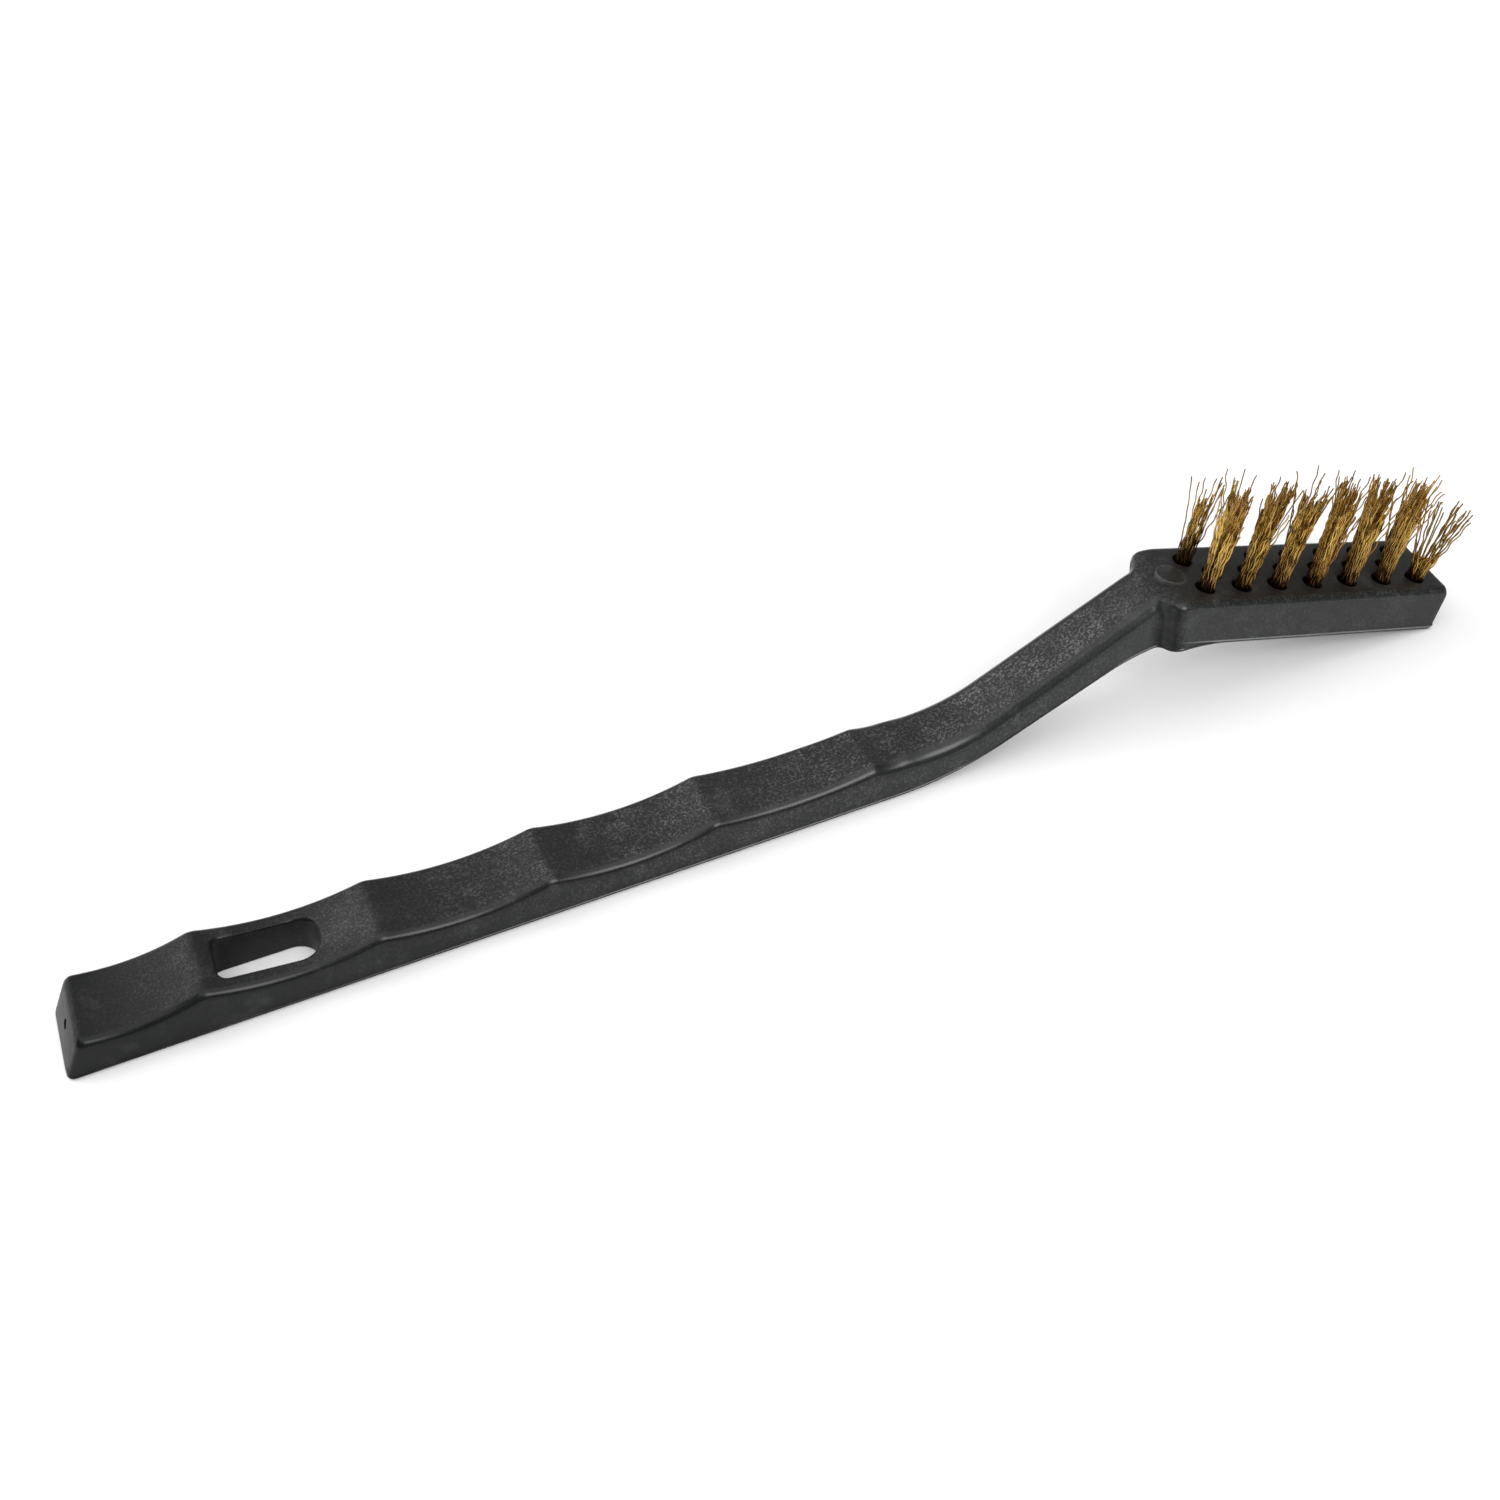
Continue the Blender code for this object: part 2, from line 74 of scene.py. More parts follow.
FLAT_AFTER_RIDGES = 0.0026
NECK_DIP_LENGTH = 0.0071
NECK_DIP_HEIGHT = 0.0055
NECK_TOP_ANGLE = math.radians(25.8)
NECK_TOP_RADIUS = 0.023
NECK_UNDER_ANGLE = math.radians(23.0)
NECK_UNDER_RADIUS = 0.038
CREST_TOP_RADIUS = 0.008
CREST_UNDER_RADIUS = 0.023

HEAD_TILT = math.radians(17.7)
HEAD_THICKNESS = 0.0065
HOLES_AFTER_RIDGES = 0.04555
SHOULDER_BEFORE_HOLES = 0.0067
SHOULDER_LENGTH = 0.0012
SHOULDER_WIDTH = 0.0127
SHOULDER_RADIUS = 0.002
SHOULDER_FILLET = 0.0012
TIP_MARGIN = 0.0041
TIP_WIDTH = 0.0121
TIP_RADIUS = 0.0008
HOLE_PITCH = 0.00552
ROW_SPACING = 0.0029
OUTER_ROW_HOLES = 7

SHANK_EDGE_RADIUS = 0.0012
NECK_EDGE_RADIUS = 0.0021
HEAD_EDGE_RADIUS = 0.0011
UNDER_EDGE_RADIUS = 0.0005
FLASH_WIDTH = 0.0001
FLASH_HALF_HEIGHT = 0.0001

CURVE_STEP = math.radians(1.5)
FEWEST_ARC_STEPS = 4
HOLLOW_STEPS = 44
EDGE_SEGMENTS = 8
ACROSS_STEPS = 12
DOWN_STEPS = 5
SECTION_GAP = 0.00012
LONGEST_GAP = 0.0007

LAST_RIDGE_AT = RIDGE_START + (len(RIDGE_HEIGHT_SHARES) - 1) * RIDGE_PITCH
UNDERSIDE_LENGTH = LAST_RIDGE_AT + FLAT_AFTER_RIDGES
FIRST_HOLE_AT = LAST_RIDGE_AT + HOLES_AFTER_RIDGES
TIP_AT = (OUTER_ROW_HOLES - 1) * HOLE_PITCH + TIP_MARGIN
NECK_END_AT = FIRST_HOLE_AT - SHOULDER_BEFORE_HOLES
TIP_ROUNDED_OFF = TIP_RADIUS * (math.cos(HEAD_TILT) + math.sin(HEAD_TILT) - 1)
FACE_HEIGHT = HEAD_THICKNESS * math.cos(HEAD_TILT) + TIP_AT * math.sin(HEAD_TILT) - TIP_ROUNDED_OFF
ALONG_HEAD = Vector((math.cos(HEAD_TILT), -math.sin(HEAD_TILT)))
OUT_OF_FACE = Vector((math.sin(HEAD_TILT), math.cos(HEAD_TILT)))
FIRST_HOLE = Vector((FIRST_HOLE_AT, FACE_HEIGHT))
TO_ORIGIN = Matrix.Translation((-UNDERSIDE_LENGTH / 2, 0, 0))


def turn(vector, angle):
    """A 2D direction turned anticlockwise."""
    c = math.cos(angle)
    s = math.sin(angle)
    return Vector((c * vector.x - s * vector.y, s * vector.x + c * vector.y))


def meet(point_a, direction_a, point_b, direction_b):
    """Where two lines of a 2D drawing cross."""
    cross = direction_a.x * direction_b.y - direction_a.y * direction_b.x
    offset = point_b - point_a
    return point_a + direction_a * ((offset.x * direction_b.y - offset.y * direction_b.x) / cross)


def rounded(corners):
    """A 2D outline from (point, radius) corners, each radius drawn as an arc tangent to both sides."""
    points = []
    for index, (corner, radius) in enumerate(corners):
        if not radius:
            points.append(corner.copy())
            continue
        back = (corners[index - 1][0] - corner).normalized()
        ahead = (corners[(index + 1) % len(corners)][0] - corner).normalized()
        half = back.angle(ahead) / 2
        centre = corner + (back + ahead).normalized() * (radius / math.sin(half))
        start = corner + back * (radius / math.tan(half)) - centre
        sweep = math.pi - 2 * half
        if back.x * ahead.y - back.y * ahead.x > 0:
            sweep = -sweep
        steps = max(FEWEST_ARC_STEPS, round(abs(sweep) / CURVE_STEP))
        points.extend(centre + turn(start, sweep * step / steps) for step in range(steps + 1))
    return points


def hollow(start, end, depth):
    """Points of a shallow arc that sags below the chord from start to end, without its two ends."""
    chord = end - start
    half_chord = chord.length / 2
    radius = (half_chord ** 2 + depth ** 2) / (2 * depth)
    half_angle = math.asin(half_chord / radius)
    along = chord.normalized()
    down = turn(along, -math.pi / 2)
    middle = (start + end) / 2
    angles = [half_angle * (2 * step / HOLLOW_STEPS - 1) for step in range(1, HOLLOW_STEPS)]
    return [
        middle + along * radius * math.sin(angle) + down * (radius * math.cos(angle) - radius + depth)
        for angle in angles
    ]


def hollowed_top():
    """Corners of the top surface from the hanging end to the dip before the neck."""
    end_top = Vector((0, END_HEIGHT))
    ridges = [
        Vector((RIDGE_START + index * RIDGE_PITCH, RIDGE_HEIGHT * share))
        for index, share in enumerate(RIDGE_HEIGHT_SHARES)
    ]
    corners = [(end_top, 0)]
    corners += [(point, 0) for point in hollow(end_top, ridges[0], END_HOLLOW_DEPTH)[:-END_HOLLOW_TRIM]]
    for ridge, following, share in zip(ridges, ridges[1:], HOLLOW_DEPTH_SHARES):
        corners.append((ridge, RIDGE_RADIUS))
        corners += [(point, 0) for point in hollow(ridge, following, HOLLOW_DEPTH * share)[1:-1]]
    last = ridges[-1]
    crest = Vector((last.x + LAST_CREST_AFTER_RIDGE, LAST_CREST_HEIGHT))
    corners.append((last, RIDGE_RADIUS))
    corners += [(point, 0) for point in hollow(last, crest, LAST_HOLLOW_DEPTH)[1:-LAST_CREST_TRIM]]
    corners.append((crest, LAST_CREST_RADIUS))
    dip_at = last.x + NECK_DIP_LENGTH
    dip = hollow(crest, Vector((2 * dip_at - crest.x, crest.y)), crest.y - NECK_DIP_HEIGHT)
    corners += [(point, 0) for point in dip[LAST_CREST_TRIM:HOLLOW_STEPS // 2 - 1]]
    return corners, dip_at


def top_line():
    """Top of the handle in side view: finger hollows, S-shaped neck and tilted face of the head."""
    corners, dip_at = hollowed_top()
    bend = Vector((dip_at + NECK_TOP_RADIUS * math.tan(NECK_TOP_ANGLE / 2), NECK_DIP_HEIGHT))
    crest = meet(bend, turn(Vector((1, 0)), NECK_TOP_ANGLE), FIRST_HOLE, ALONG_HEAD)
    corners += [(bend, NECK_TOP_RADIUS), (crest, CREST_TOP_RADIUS), (FIRST_HOLE + ALONG_HEAD * TIP_AT, 0)]
    return rounded(corners)


def underside_line():
    """Underside in side view: flat under the shank, then parallel to the face of the head."""
    tip = FIRST_HOLE + ALONG_HEAD * TIP_AT - OUT_OF_FACE * HEAD_THICKNESS
    bend = Vector((UNDERSIDE_LENGTH + NECK_UNDER_RADIUS * math.tan(NECK_UNDER_ANGLE / 2), 0))
    crest = meet(bend, turn(Vector((1, 0)), NECK_UNDER_ANGLE), tip, ALONG_HEAD)
    return rounded([
        (Vector((-END_SLANT, 0)), 0),
        (bend, NECK_UNDER_RADIUS),
        (crest, CREST_UNDER_RADIUS),
        (tip, 0),
    ])


def side_line():
    """Half the plan: a shank that narrows to the neck, then the shoulder and the side of the head."""
    return rounded([
        (Vector((-END_SLANT, END_WIDTH / 2)), 0),
        (Vector((NECK_END_AT, NECK_WIDTH / 2)), SHOULDER_FILLET),
        (Vector((NECK_END_AT + SHOULDER_LENGTH, SHOULDER_WIDTH / 2)), SHOULDER_RADIUS),
        (Vector((FIRST_HOLE_AT + TIP_AT, TIP_WIDTH / 2)), 0),
    ])


def value_at(line, along):
    """Second coordinate of a line in side view or plan, at a place along the handle."""
    return float(np.interp(along, [point.x for point in line], [point.y for point in line]))


def rounding_steps(radius):
    """Distances from an end at which its rounding gets a section."""
    return [radius * (1 - math.cos(math.pi / 2 * step / EDGE_SEGMENTS)) for step in range(EDGE_SEGMENTS + 1)]


def end_inset(distance, radius):
    """How far a rounding draws the outline in, at a distance from the end that it rounds."""
    if distance >= radius:
        return 0
    return radius - math.sqrt(radius ** 2 - (radius - distance) ** 2)


def top_edge_radius(along):
    """Rounding of the two upper edges: crisp on the shank, soft on the neck, firmer again on the head."""
    neck_start = LAST_RIDGE_AT - NECK_DIP_LENGTH
    places = (neck_start, neck_start + 2 * NECK_DIP_LENGTH, NECK_END_AT, NECK_END_AT + SHOULDER_LENGTH)
    radii = (SHANK_EDGE_RADIUS, NECK_EDGE_RADIUS, NECK_EDGE_RADIUS, HEAD_EDGE_RADIUS)
    return float(np.interp(along, places, radii))


def quarter_round(quarter, radius):
    """Across and up offsets round one corner of a section."""
    angles = [math.pi / 2 * (quarter + step / EDGE_SEGMENTS) for step in range(EDGE_SEGMENTS + 1)]
    return [(radius * math.cos(angle), radius * math.sin(angle)) for angle in angles]


def between(start, end, steps):
    """Even places between two values, without the two."""
    return [start + (end - start) * step / steps for step in range(1, steps)]


def section(along, top, under, side):
    """Ring of points round the handle, straight runs cut into steps, with the flash near the lower edge."""
    tip = top[-1].x
    into_end = max(1 - along / RIDGE_START, 0)
    into_head = max((along - NECK_END_AT) / (tip - NECK_END_AT), 0)
    foot_at = along - END_SLANT * into_end - HEAD_THICKNESS * math.sin(HEAD_TILT) * into_head
    foot = Vector((foot_at, value_at(under, foot_at)))
    crown = Vector((along, value_at(top, along)))
    upward = (crown - foot).normalized()
    drawn_in = end_inset(along, END_CORNER_RADIUS) + end_inset(tip - along, TIP_RADIUS)
    raised = end_inset(along, END_UNDER_RADIUS) + end_inset(tip - along, TIP_RADIUS)
    lowered = end_inset(along, END_TOP_RADIUS) + end_inset(tip - along, TIP_RADIUS)
    above = top_edge_radius(along)
    below = UNDER_EDGE_RADIUS
    upper = (crown - foot).length - lowered - above
    lower = raised + below
    outline = []

    def put(hand, inset, level, outward=0.0):
        place = foot + upward * level
        half_width = value_at(side, place.x) - drawn_in
        outline.append(Vector((place.x, hand * (half_width - inset + outward), place.y)))

    flash = [(lower + step * FLASH_HALF_HEIGHT, FLASH_WIDTH * (1 - abs(step - 1))) for step in range(3)]
    for across, rise in quarter_round(0, above):
        put(1, above - across, upper + rise)
    half_flat = value_at(side, along) - drawn_in - above
    for share in between(1, -1, ACROSS_STEPS):
        put(1, value_at(side, along) - drawn_in - half_flat * share, upper + above)
    for across, rise in quarter_round(1, above):
        put(-1, above + across, upper + rise)
    for level in between(upper, flash[-1][0], DOWN_STEPS):
        put(-1, 0, level)
    for level, outward in reversed(flash):
        put(-1, 0, level, outward)
    for across, rise in quarter_round(2, below)[1:]:
        put(-1, below + across, lower + rise)
    half_flat = value_at(side, foot.x) - drawn_in - below
    for share in between(-1, 1, ACROSS_STEPS):
        put(1, value_at(side, foot.x) - drawn_in - half_flat * share, lower - below)
    for across, rise in quarter_round(3, below)[:-1]:
        put(1, below - across, lower + rise)
    for level, outward in flash:
        put(1, 0, level, outward)
    for level in between(flash[-1][0], upper, DOWN_STEPS):
        put(1, 0, level)
    return outline


def stations(top, under, side):
    """Places along the handle at which it gets a section."""
    tip = top[-1].x
    places = [point.x for point in top]
    places += [point.x for point in under + side if UNDERSIDE_LENGTH < point.x < tip - TIP_RADIUS]
    places += rounding_steps(END_CORNER_RADIUS) + rounding_steps(END_TOP_RADIUS)
    places += [tip - distance for distance in rounding_steps(TIP_RADIUS)]
    kept = []
    for place in sorted(places):
        if not kept or place - kept[-1] > SECTION_GAP:
            while kept and place - kept[-1] > LONGEST_GAP:
                kept.append(kept[-1] + LONGEST_GAP)
            kept.append(place)
    kept[-1] = tip
    return kept


def moulding():
    """The handle's outer form, lofted through its sections."""
    top = top_line()
    under = underside_line()
    side = side_line()
    shape = bmesh.new()
    outlines = [section(place, top, under, side) for place in stations(top, under, side)]
    rings = [[shape.verts.new(point) for point in outline] for outline in outlines]
    for ring, following in zip(rings, rings[1:]):
        for index in range(len(ring)):
            shape.faces.new((ring[index - 1], ring[index], following[index], following[index - 1]))
    shape.faces.new(rings[0])
    shape.faces.new(rings[-1])
    return shape


def mesh_object(name, shape, matrix=TO_ORIGIN):
    """A finished bmesh as an object at the origin, its place moved into its mesh."""
    bmesh.ops.transform(shape, matrix=matrix, verts=shape.verts)
    bmesh.ops.recalc_face_normals(shape, faces=shape.faces)
    mesh = bpy.data.meshes.new(name)
    shape.to_mesh(mesh)
    shape.free()
    made = bpy.data.objects.new(name, mesh)
    bpy.context.scene.collection.objects.link(made)
    return made


handle = mesh_object("moulded_handle", moulding())

# Hanging slot, tuft holes and the mould's marks
# The slot goes right through the shank, square towards the end, rounder towards the head, with softened rims.
# The tuft holes stand square to the face, in two outer rows and a middle row that is half a pitch off.
# An ejector pin left a thin round pad before the holes, and the broken-off gate a pit in the hanging end.
SLOT_START = 0.0169
SLOT_LENGTH = 0.0124
SLOT_WIDTH = 0.0063
SLOT_DRAFT = 0.0001
SLOT_LEAN = 0.001
SLOT_NEAR_RADIUS = 0.0012
SLOT_FAR_RADIUS = 0.0028
SLOT_TOP_RIM = 0.0005
SLOT_UNDER_RIM = 0.0003
HOLE_DIAMETER = 0.0026
HOLE_DEPTH = 0.0045
HOLE_RIM = 0.00012
EJECTOR_PAD_DIAMETER = 0.0039
EJECTOR_PAD_HEIGHT = 0.00012
EJECTOR_PAD_RIM = 0.00008
EJECTOR_PAD_BEFORE_HOLES = 0.0035
GATE_SCAR_DIAMETER = 0.0013
GATE_SCAR_DEPTH = 0.0002
GATE_SCAR_HEIGHT_SHARE = 0.6
OVERRUN = 0.002
RIM_SWEEP = math.radians(78)
RIM_STEPS = 5
HOLE_SIDES = 48
# Points closer than the first are one point. Edges shorter than the second are left over from the cuts.
SAME_POINT = 0.0000012
SLIVER_LENGTH = 0.0000005
SMOOTH_ANGLE = math.radians(38)

HEAD_MATRIX = Matrix.Translation((FIRST_HOLE_AT, 0, FACE_HEIGHT)) @ Matrix.Rotation(HEAD_TILT, 4, "Y")
ROWS = (
    ("front", -ROW_SPACING, OUTER_ROW_HOLES, 0.0),
    ("middle", 0.0, OUTER_ROW_HOLES - 1, HOLE_PITCH / 2),
    ("rear", ROW_SPACING, OUTER_ROW_HOLES, 0.0),
)
HOLES = [
    (f"{row}_{index + 1}", Vector((shift + index * HOLE_PITCH, across, 0)))
    for row, across, count, shift in ROWS
    for index in range(count)
]


def rim(radius):
    """Outward and inward steps of a softened rim: (how far the hole widens, depth below the surface)."""
    angles = [RIM_SWEEP * step / RIM_STEPS for step in range(RIM_STEPS + 1)]
    return [(radius * (1 - math.cos(angle)), radius * (1 - math.sin(angle))) for angle in angles]


def slot_outline(grown):
    """Plan of the hanging slot, widened evenly."""
    half = SLOT_WIDTH / 2 + grown
    near = SLOT_START - grown
    far = SLOT_START + SLOT_LENGTH + grown
    near_corner = SLOT_NEAR_RADIUS + grown
    far_corner = SLOT_FAR_RADIUS + grown
    return rounded([(Vector((near, -half)), near_corner), (Vector((far, -half)), far_corner),
                    (Vector((far, half)), far_corner), (Vector((near, half)), near_corner)])


def lofted(rings):
    """A closed solid through rings of points, its two end rings filled."""
    shape = bmesh.new()
    rows = [[shape.verts.new(point) for point in ring] for ring in rings]
    for row, following in zip(rows, rows[1:]):
        for index in range(len(row)):
            shape.faces.new((row[index - 1], row[index], following[index], following[index - 1]))
    shape.faces.new(rows[0])
    shape.faces.new(rows[-1])
    return shape


def slot_cutter():
    """The slot as a solid that leans towards the head, its rims following the top and the underside."""
    top = top_line()
    under_rim = rim(SLOT_UNDER_RIM)
    widest = under_rim[-1][0]
    rings = []
    for widening, level in [(widest, -OVERRUN), *reversed(under_rim)]:
        outline = slot_outline(SLOT_DRAFT + widening)
        rings.append([Vector((place.x - SLOT_LEAN, place.y, level)) for place in outline])
    top_rim = rim(SLOT_TOP_RIM)
    for widening, depth in top_rim:
        outline = slot_outline(widening)
        rings.append([Vector((place.x, place.y, value_at(top, place.x) - depth)) for place in outline])
    outline = slot_outline(top_rim[-1][0])
    rings.append([Vector((place.x, place.y, value_at(top, place.x) + OVERRUN)) for place in outline])
    shape = lofted(rings)
    bmesh.ops.remove_doubles(shape, verts=shape.verts, dist=SAME_POINT)
    return shape


def turned(profile, sides):
    """A closed solid turned round Z from (radius, height) points."""
    angles = [2 * math.pi * side / sides for side in range(sides)]
    return lofted([
        [Vector((radius * math.cos(angle), radius * math.sin(angle), height)) for angle in angles]
        for radius, height in profile
    ])


def hole_cutter():
    """One blind hole with its softened mouth, the face of the head at height zero."""
    radius = HOLE_DIAMETER / 2
    profile = [(radius, -HOLE_DEPTH)]
    profile += [(radius + widening, -depth) for widening, depth in rim(HOLE_RIM)]
    profile.append((profile[-1][0], OVERRUN))
    return turned(profile, HOLE_SIDES)


def ejector_pad():
    """The ejector mark as a low pad with a rounded edge."""
    radius = EJECTOR_PAD_DIAMETER / 2
    profile = [(radius, -OVERRUN)]
    profile += [(radius - widening, EJECTOR_PAD_HEIGHT - depth) for widening, depth in rim(EJECTOR_PAD_RIM)]
    return turned(profile, 2 * HOLE_SIDES)


def gate_scar():
    """The pit that the broken-off gate left, its floor at a depth below height zero."""
    radius = GATE_SCAR_DIAMETER / 2
    return turned([(radius, -GATE_SCAR_DEPTH), (radius, OVERRUN)], HOLE_SIDES)


def cut(target, shape, matrix, operation="DIFFERENCE"):
    """Cuts a shape out of a piece, or joins it on, and keeps the result as the piece's mesh."""
    tool = mesh_object("tool", shape, matrix)
    step = target.modifiers.new("cut", "BOOLEAN")
    step.operation = operation
    step.object = tool
    step.solver = "EXACT"
    bpy.context.view_layer.update()
    made = bpy.data.meshes.new_from_object(target.evaluated_get(bpy.context.evaluated_depsgraph_get()))
    target.modifiers.clear()
    target.data = made
    bpy.data.objects.remove(tool)


cut(handle, slot_cutter(), TO_ORIGIN)
for name, place in HOLES:
    cut(handle, hole_cutter(), TO_ORIGIN @ HEAD_MATRIX @ Matrix.Translation(place))
pad_place = Matrix.Translation((-EJECTOR_PAD_BEFORE_HOLES, 0, 0))
cut(handle, ejector_pad(), TO_ORIGIN @ HEAD_MATRIX @ pad_place, "UNION")
up_the_end = Vector((END_SLANT, 0, END_HEIGHT))
scar_place = Matrix.Translation(up_the_end * GATE_SCAR_HEIGHT_SHARE - Vector((END_SLANT, 0, 0)))
outward = Matrix.Rotation(math.atan2(END_SLANT, END_HEIGHT) - math.pi / 2, 4, "Y")
cut(handle, gate_scar(), TO_ORIGIN @ scar_place @ outward)
touched_up = bmesh.new()
touched_up.from_mesh(handle.data)
bmesh.ops.dissolve_degenerate(touched_up, dist=SLIVER_LENGTH, edges=touched_up.edges)
touched_up.to_mesh(handle.data)
touched_up.free()
handle.data.shade_smooth()
handle.data.set_sharp_from_angle(angle=SMOOTH_ANGLE)


# Finish of the moulding
# Polypropylene filled with carbon black, moulded against a spark-eroded steel cavity. Pale specks painted
# into the colour stand for the light the tiny craters catch and for dust, most on the top, fewer on the
# sides and about half as strong on the head, and painted stronger on faces that tilt towards the hanging
# end, as painted light. Edges are rubbed and the place past the slot is dusty. Painted light and dust pale
# the end facet, the sides turn paler grey along the neck, painted shade darkens the crease at the shoulder,
# and painted highlights run round the ejector pad and along the flash line on the head.
def linear(hex_colour):
    """An sRGB hex colour as linear RGBA."""
    channels = [int(hex_colour[start:start + 2], 16) / 255 for start in (1, 3, 5)]
    return (*[c / 12.92 if c <= 0.04045 else ((c + 0.055) / 1.055) ** 2.4 for c in channels], 1.0)


def add(tree, kind, inputs=None, **settings):
    """Adds a node with its settings. An input is a value, a socket, or a node, of which output 0 is taken."""
    made = tree.nodes.new(kind)
    for name, value in settings.items():
        setattr(made, name, value)
    for name, value in (inputs or {}).items():
        if isinstance(value, bpy.types.Node):
            value = value.outputs[0]
        if isinstance(value, bpy.types.NodeSocket):
            tree.links.new(value, made.inputs[name])
        else:
            made.inputs[name].default_value = value
    return made


def new_material(name):
    """An empty node material and its output."""
    material = bpy.data.materials.new(name)
    material.use_nodes = True
    material.node_tree.nodes.clear()
    return material, material.node_tree


# Real craters are finer. They are drawn coarser, so that they show.
SPARK_PITCH = 0.00032
SPARK_DEPTH = 0.00003
PATCH_SIZE = 0.0035
TEXTURE_END = NECK_END_AT - UNDERSIDE_LENGTH / 2
TEXTURE_FADE = 0.003
DUST_PLACE = (-0.0185, -0.001, 0.005)
DUST_REACH = 0.006
END_GRADIENT_FROM = -UNDERSIDE_LENGTH / 2
END_GRADIENT_TO = 0.03
PAINTED_LINE_WIDTH = 0.00016
CREASE_SHADE_REACH = 0.0022
BLACK_DEEP = "#0d0e0e"
BLACK_DULL = "#191a1a"
SIDE_GREY = "#28292a"
DUST_AND_LIGHT_GREY = "#4e4f4e"
SPECK_GREY = "#7b7d7a"
PAINTED_HIGHLIGHT_GREY = "#a2a4a2"
DUST_SHARE = 0.27
END_DUST_AND_LIGHT_SHARE = 0.6
SMUDGE_SHARE = 0.25
PAD_RIM_HIGHLIGHT_SHARE = 0.2
FLASH_HIGHLIGHT_SHARE = 0.7
ROUGHNESS = 0.48
RUBBED_ROUGHNESS = 0.26
HEAD_SIDE_SHARE = 0.45
HEAD_TEXTURE_SHARE = 0.45
END_GLOSS = 0.21
NECK_GLOSS = 0.38
MEAN_GLOSS = 0.34
PLASTIC_IOR = 1.49
PAD_PLACE = (TO_ORIGIN @ HEAD_MATRIX @ pad_place).translation
TIP_FOOT = FIRST_HOLE + ALONG_HEAD * TIP_AT - OUT_OF_FACE * HEAD_THICKNESS - Vector((UNDERSIDE_LENGTH / 2, 0))
FLASH_LEVEL = TIP_FOOT.dot(OUT_OF_FACE) + UNDER_EDGE_RADIUS + FLASH_HALF_HEIGHT

plastic, tree = new_material("polypropylene_spark_eroded_moulding")
place = add(tree, "ShaderNodeTexCoord").outputs["Object"]
along = add(tree, "ShaderNodeSeparateXYZ", {0: place}).outputs["X"]
normal = add(tree, "ShaderNodeSeparateXYZ", {0: add(tree, "ShaderNodeNewGeometry").outputs["Normal"]})
sideways = add(tree, "ShaderNodeMath", {0: normal.outputs["Y"]}, operation="ABSOLUTE")
edge = add(tree, "ShaderNodeMapRange", {"Value": sideways, "From Min": 0.1, "From Max": 0.35})
above_side = add(tree, "ShaderNodeMapRange", {"Value": normal.outputs["Z"],
                                              "From Min": 0.15, "From Max": 0.4})
edge = add(tree, "ShaderNodeMath", {0: edge, 1: above_side}, operation="MULTIPLY")
side_share = add(tree, "ShaderNodeMapRange", {"Value": along, "From Min": END_GRADIENT_FROM, "From Max": END_GRADIENT_TO,
                                              "To Min": 0.2, "To Max": 0.8})
textured = add(tree, "ShaderNodeMapRange", {"Value": normal.outputs["Z"], "From Min": 0.5, "From Max": 0.85,
                                            "To Min": side_share, "To Max": 1.0})
before_head = add(tree, "ShaderNodeMapRange", {
    "Value": along, "From Min": TEXTURE_END - TEXTURE_FADE, "From Max": TEXTURE_END - 3 * TEXTURE_FADE,
    "To Min": HEAD_TEXTURE_SHARE,
})
textured = add(tree, "ShaderNodeMath", {0: textured, 1: before_head}, operation="MULTIPLY")
edge_share = add(tree, "ShaderNodeMapRange", {"Value": along, "From Min": TEXTURE_END, "To Min": 0.2,
                                              "From Max": TEXTURE_END + SHOULDER_BEFORE_HOLES, "To Max": 1.8})
smooth = add(tree, "ShaderNodeMapRange", {"Value": edge, "To Min": 1.0, "To Max": edge_share})
textured = add(tree, "ShaderNodeMath", {0: textured, 1: smooth}, operation="MULTIPLY")
# Painted light: the specks are made stronger on faces that tilt towards the hanging end, such as the rising
# flank before each ridge, as if lit from the left.
painted_flank_light = add(tree, "ShaderNodeMapRange", {"Value": normal.outputs["X"], "From Min": 0.15, "From Max": -0.3,
                                           "To Min": 0.28, "To Max": 0.9})
# Fewer specks towards the hanging end.
speck_share_along = add(tree, "ShaderNodeMapRange", {"Value": along, "From Min": END_GRADIENT_FROM, "From Max": END_GRADIENT_TO,
                                       "To Min": 0.2, "To Max": 1.0})
textured = add(tree, "ShaderNodeMath", {0: textured, 1: speck_share_along}, operation="MULTIPLY")
patches = add(tree, "ShaderNodeTexNoise", {"Vector": place, "Scale": 1 / PATCH_SIZE,
                                           "Detail": 4.0, "Roughness": 0.6})
sparks = add(tree, "ShaderNodeTexNoise", {"Vector": place, "Scale": 1 / SPARK_PITCH,
                                          "Detail": 2.0, "Roughness": 0.7})
worn = add(tree, "ShaderNodeMapRange", {"Value": patches.outputs[0], "From Min": 0.35, "From Max": 0.65,
                                        "To Min": 0.35, "To Max": 1.0})
speck = add(tree, "ShaderNodeMapRange", {"Value": sparks.outputs[0], "From Min": 0.47, "From Max": 0.7})
speck = add(tree, "ShaderNodeMath", {0: speck, 1: worn}, operation="MULTIPLY")
speck = add(tree, "ShaderNodeMath", {0: speck, 1: textured}, operation="MULTIPLY")
speck = add(tree, "ShaderNodeMath", {0: speck, 1: painted_flank_light}, operation="MULTIPLY")
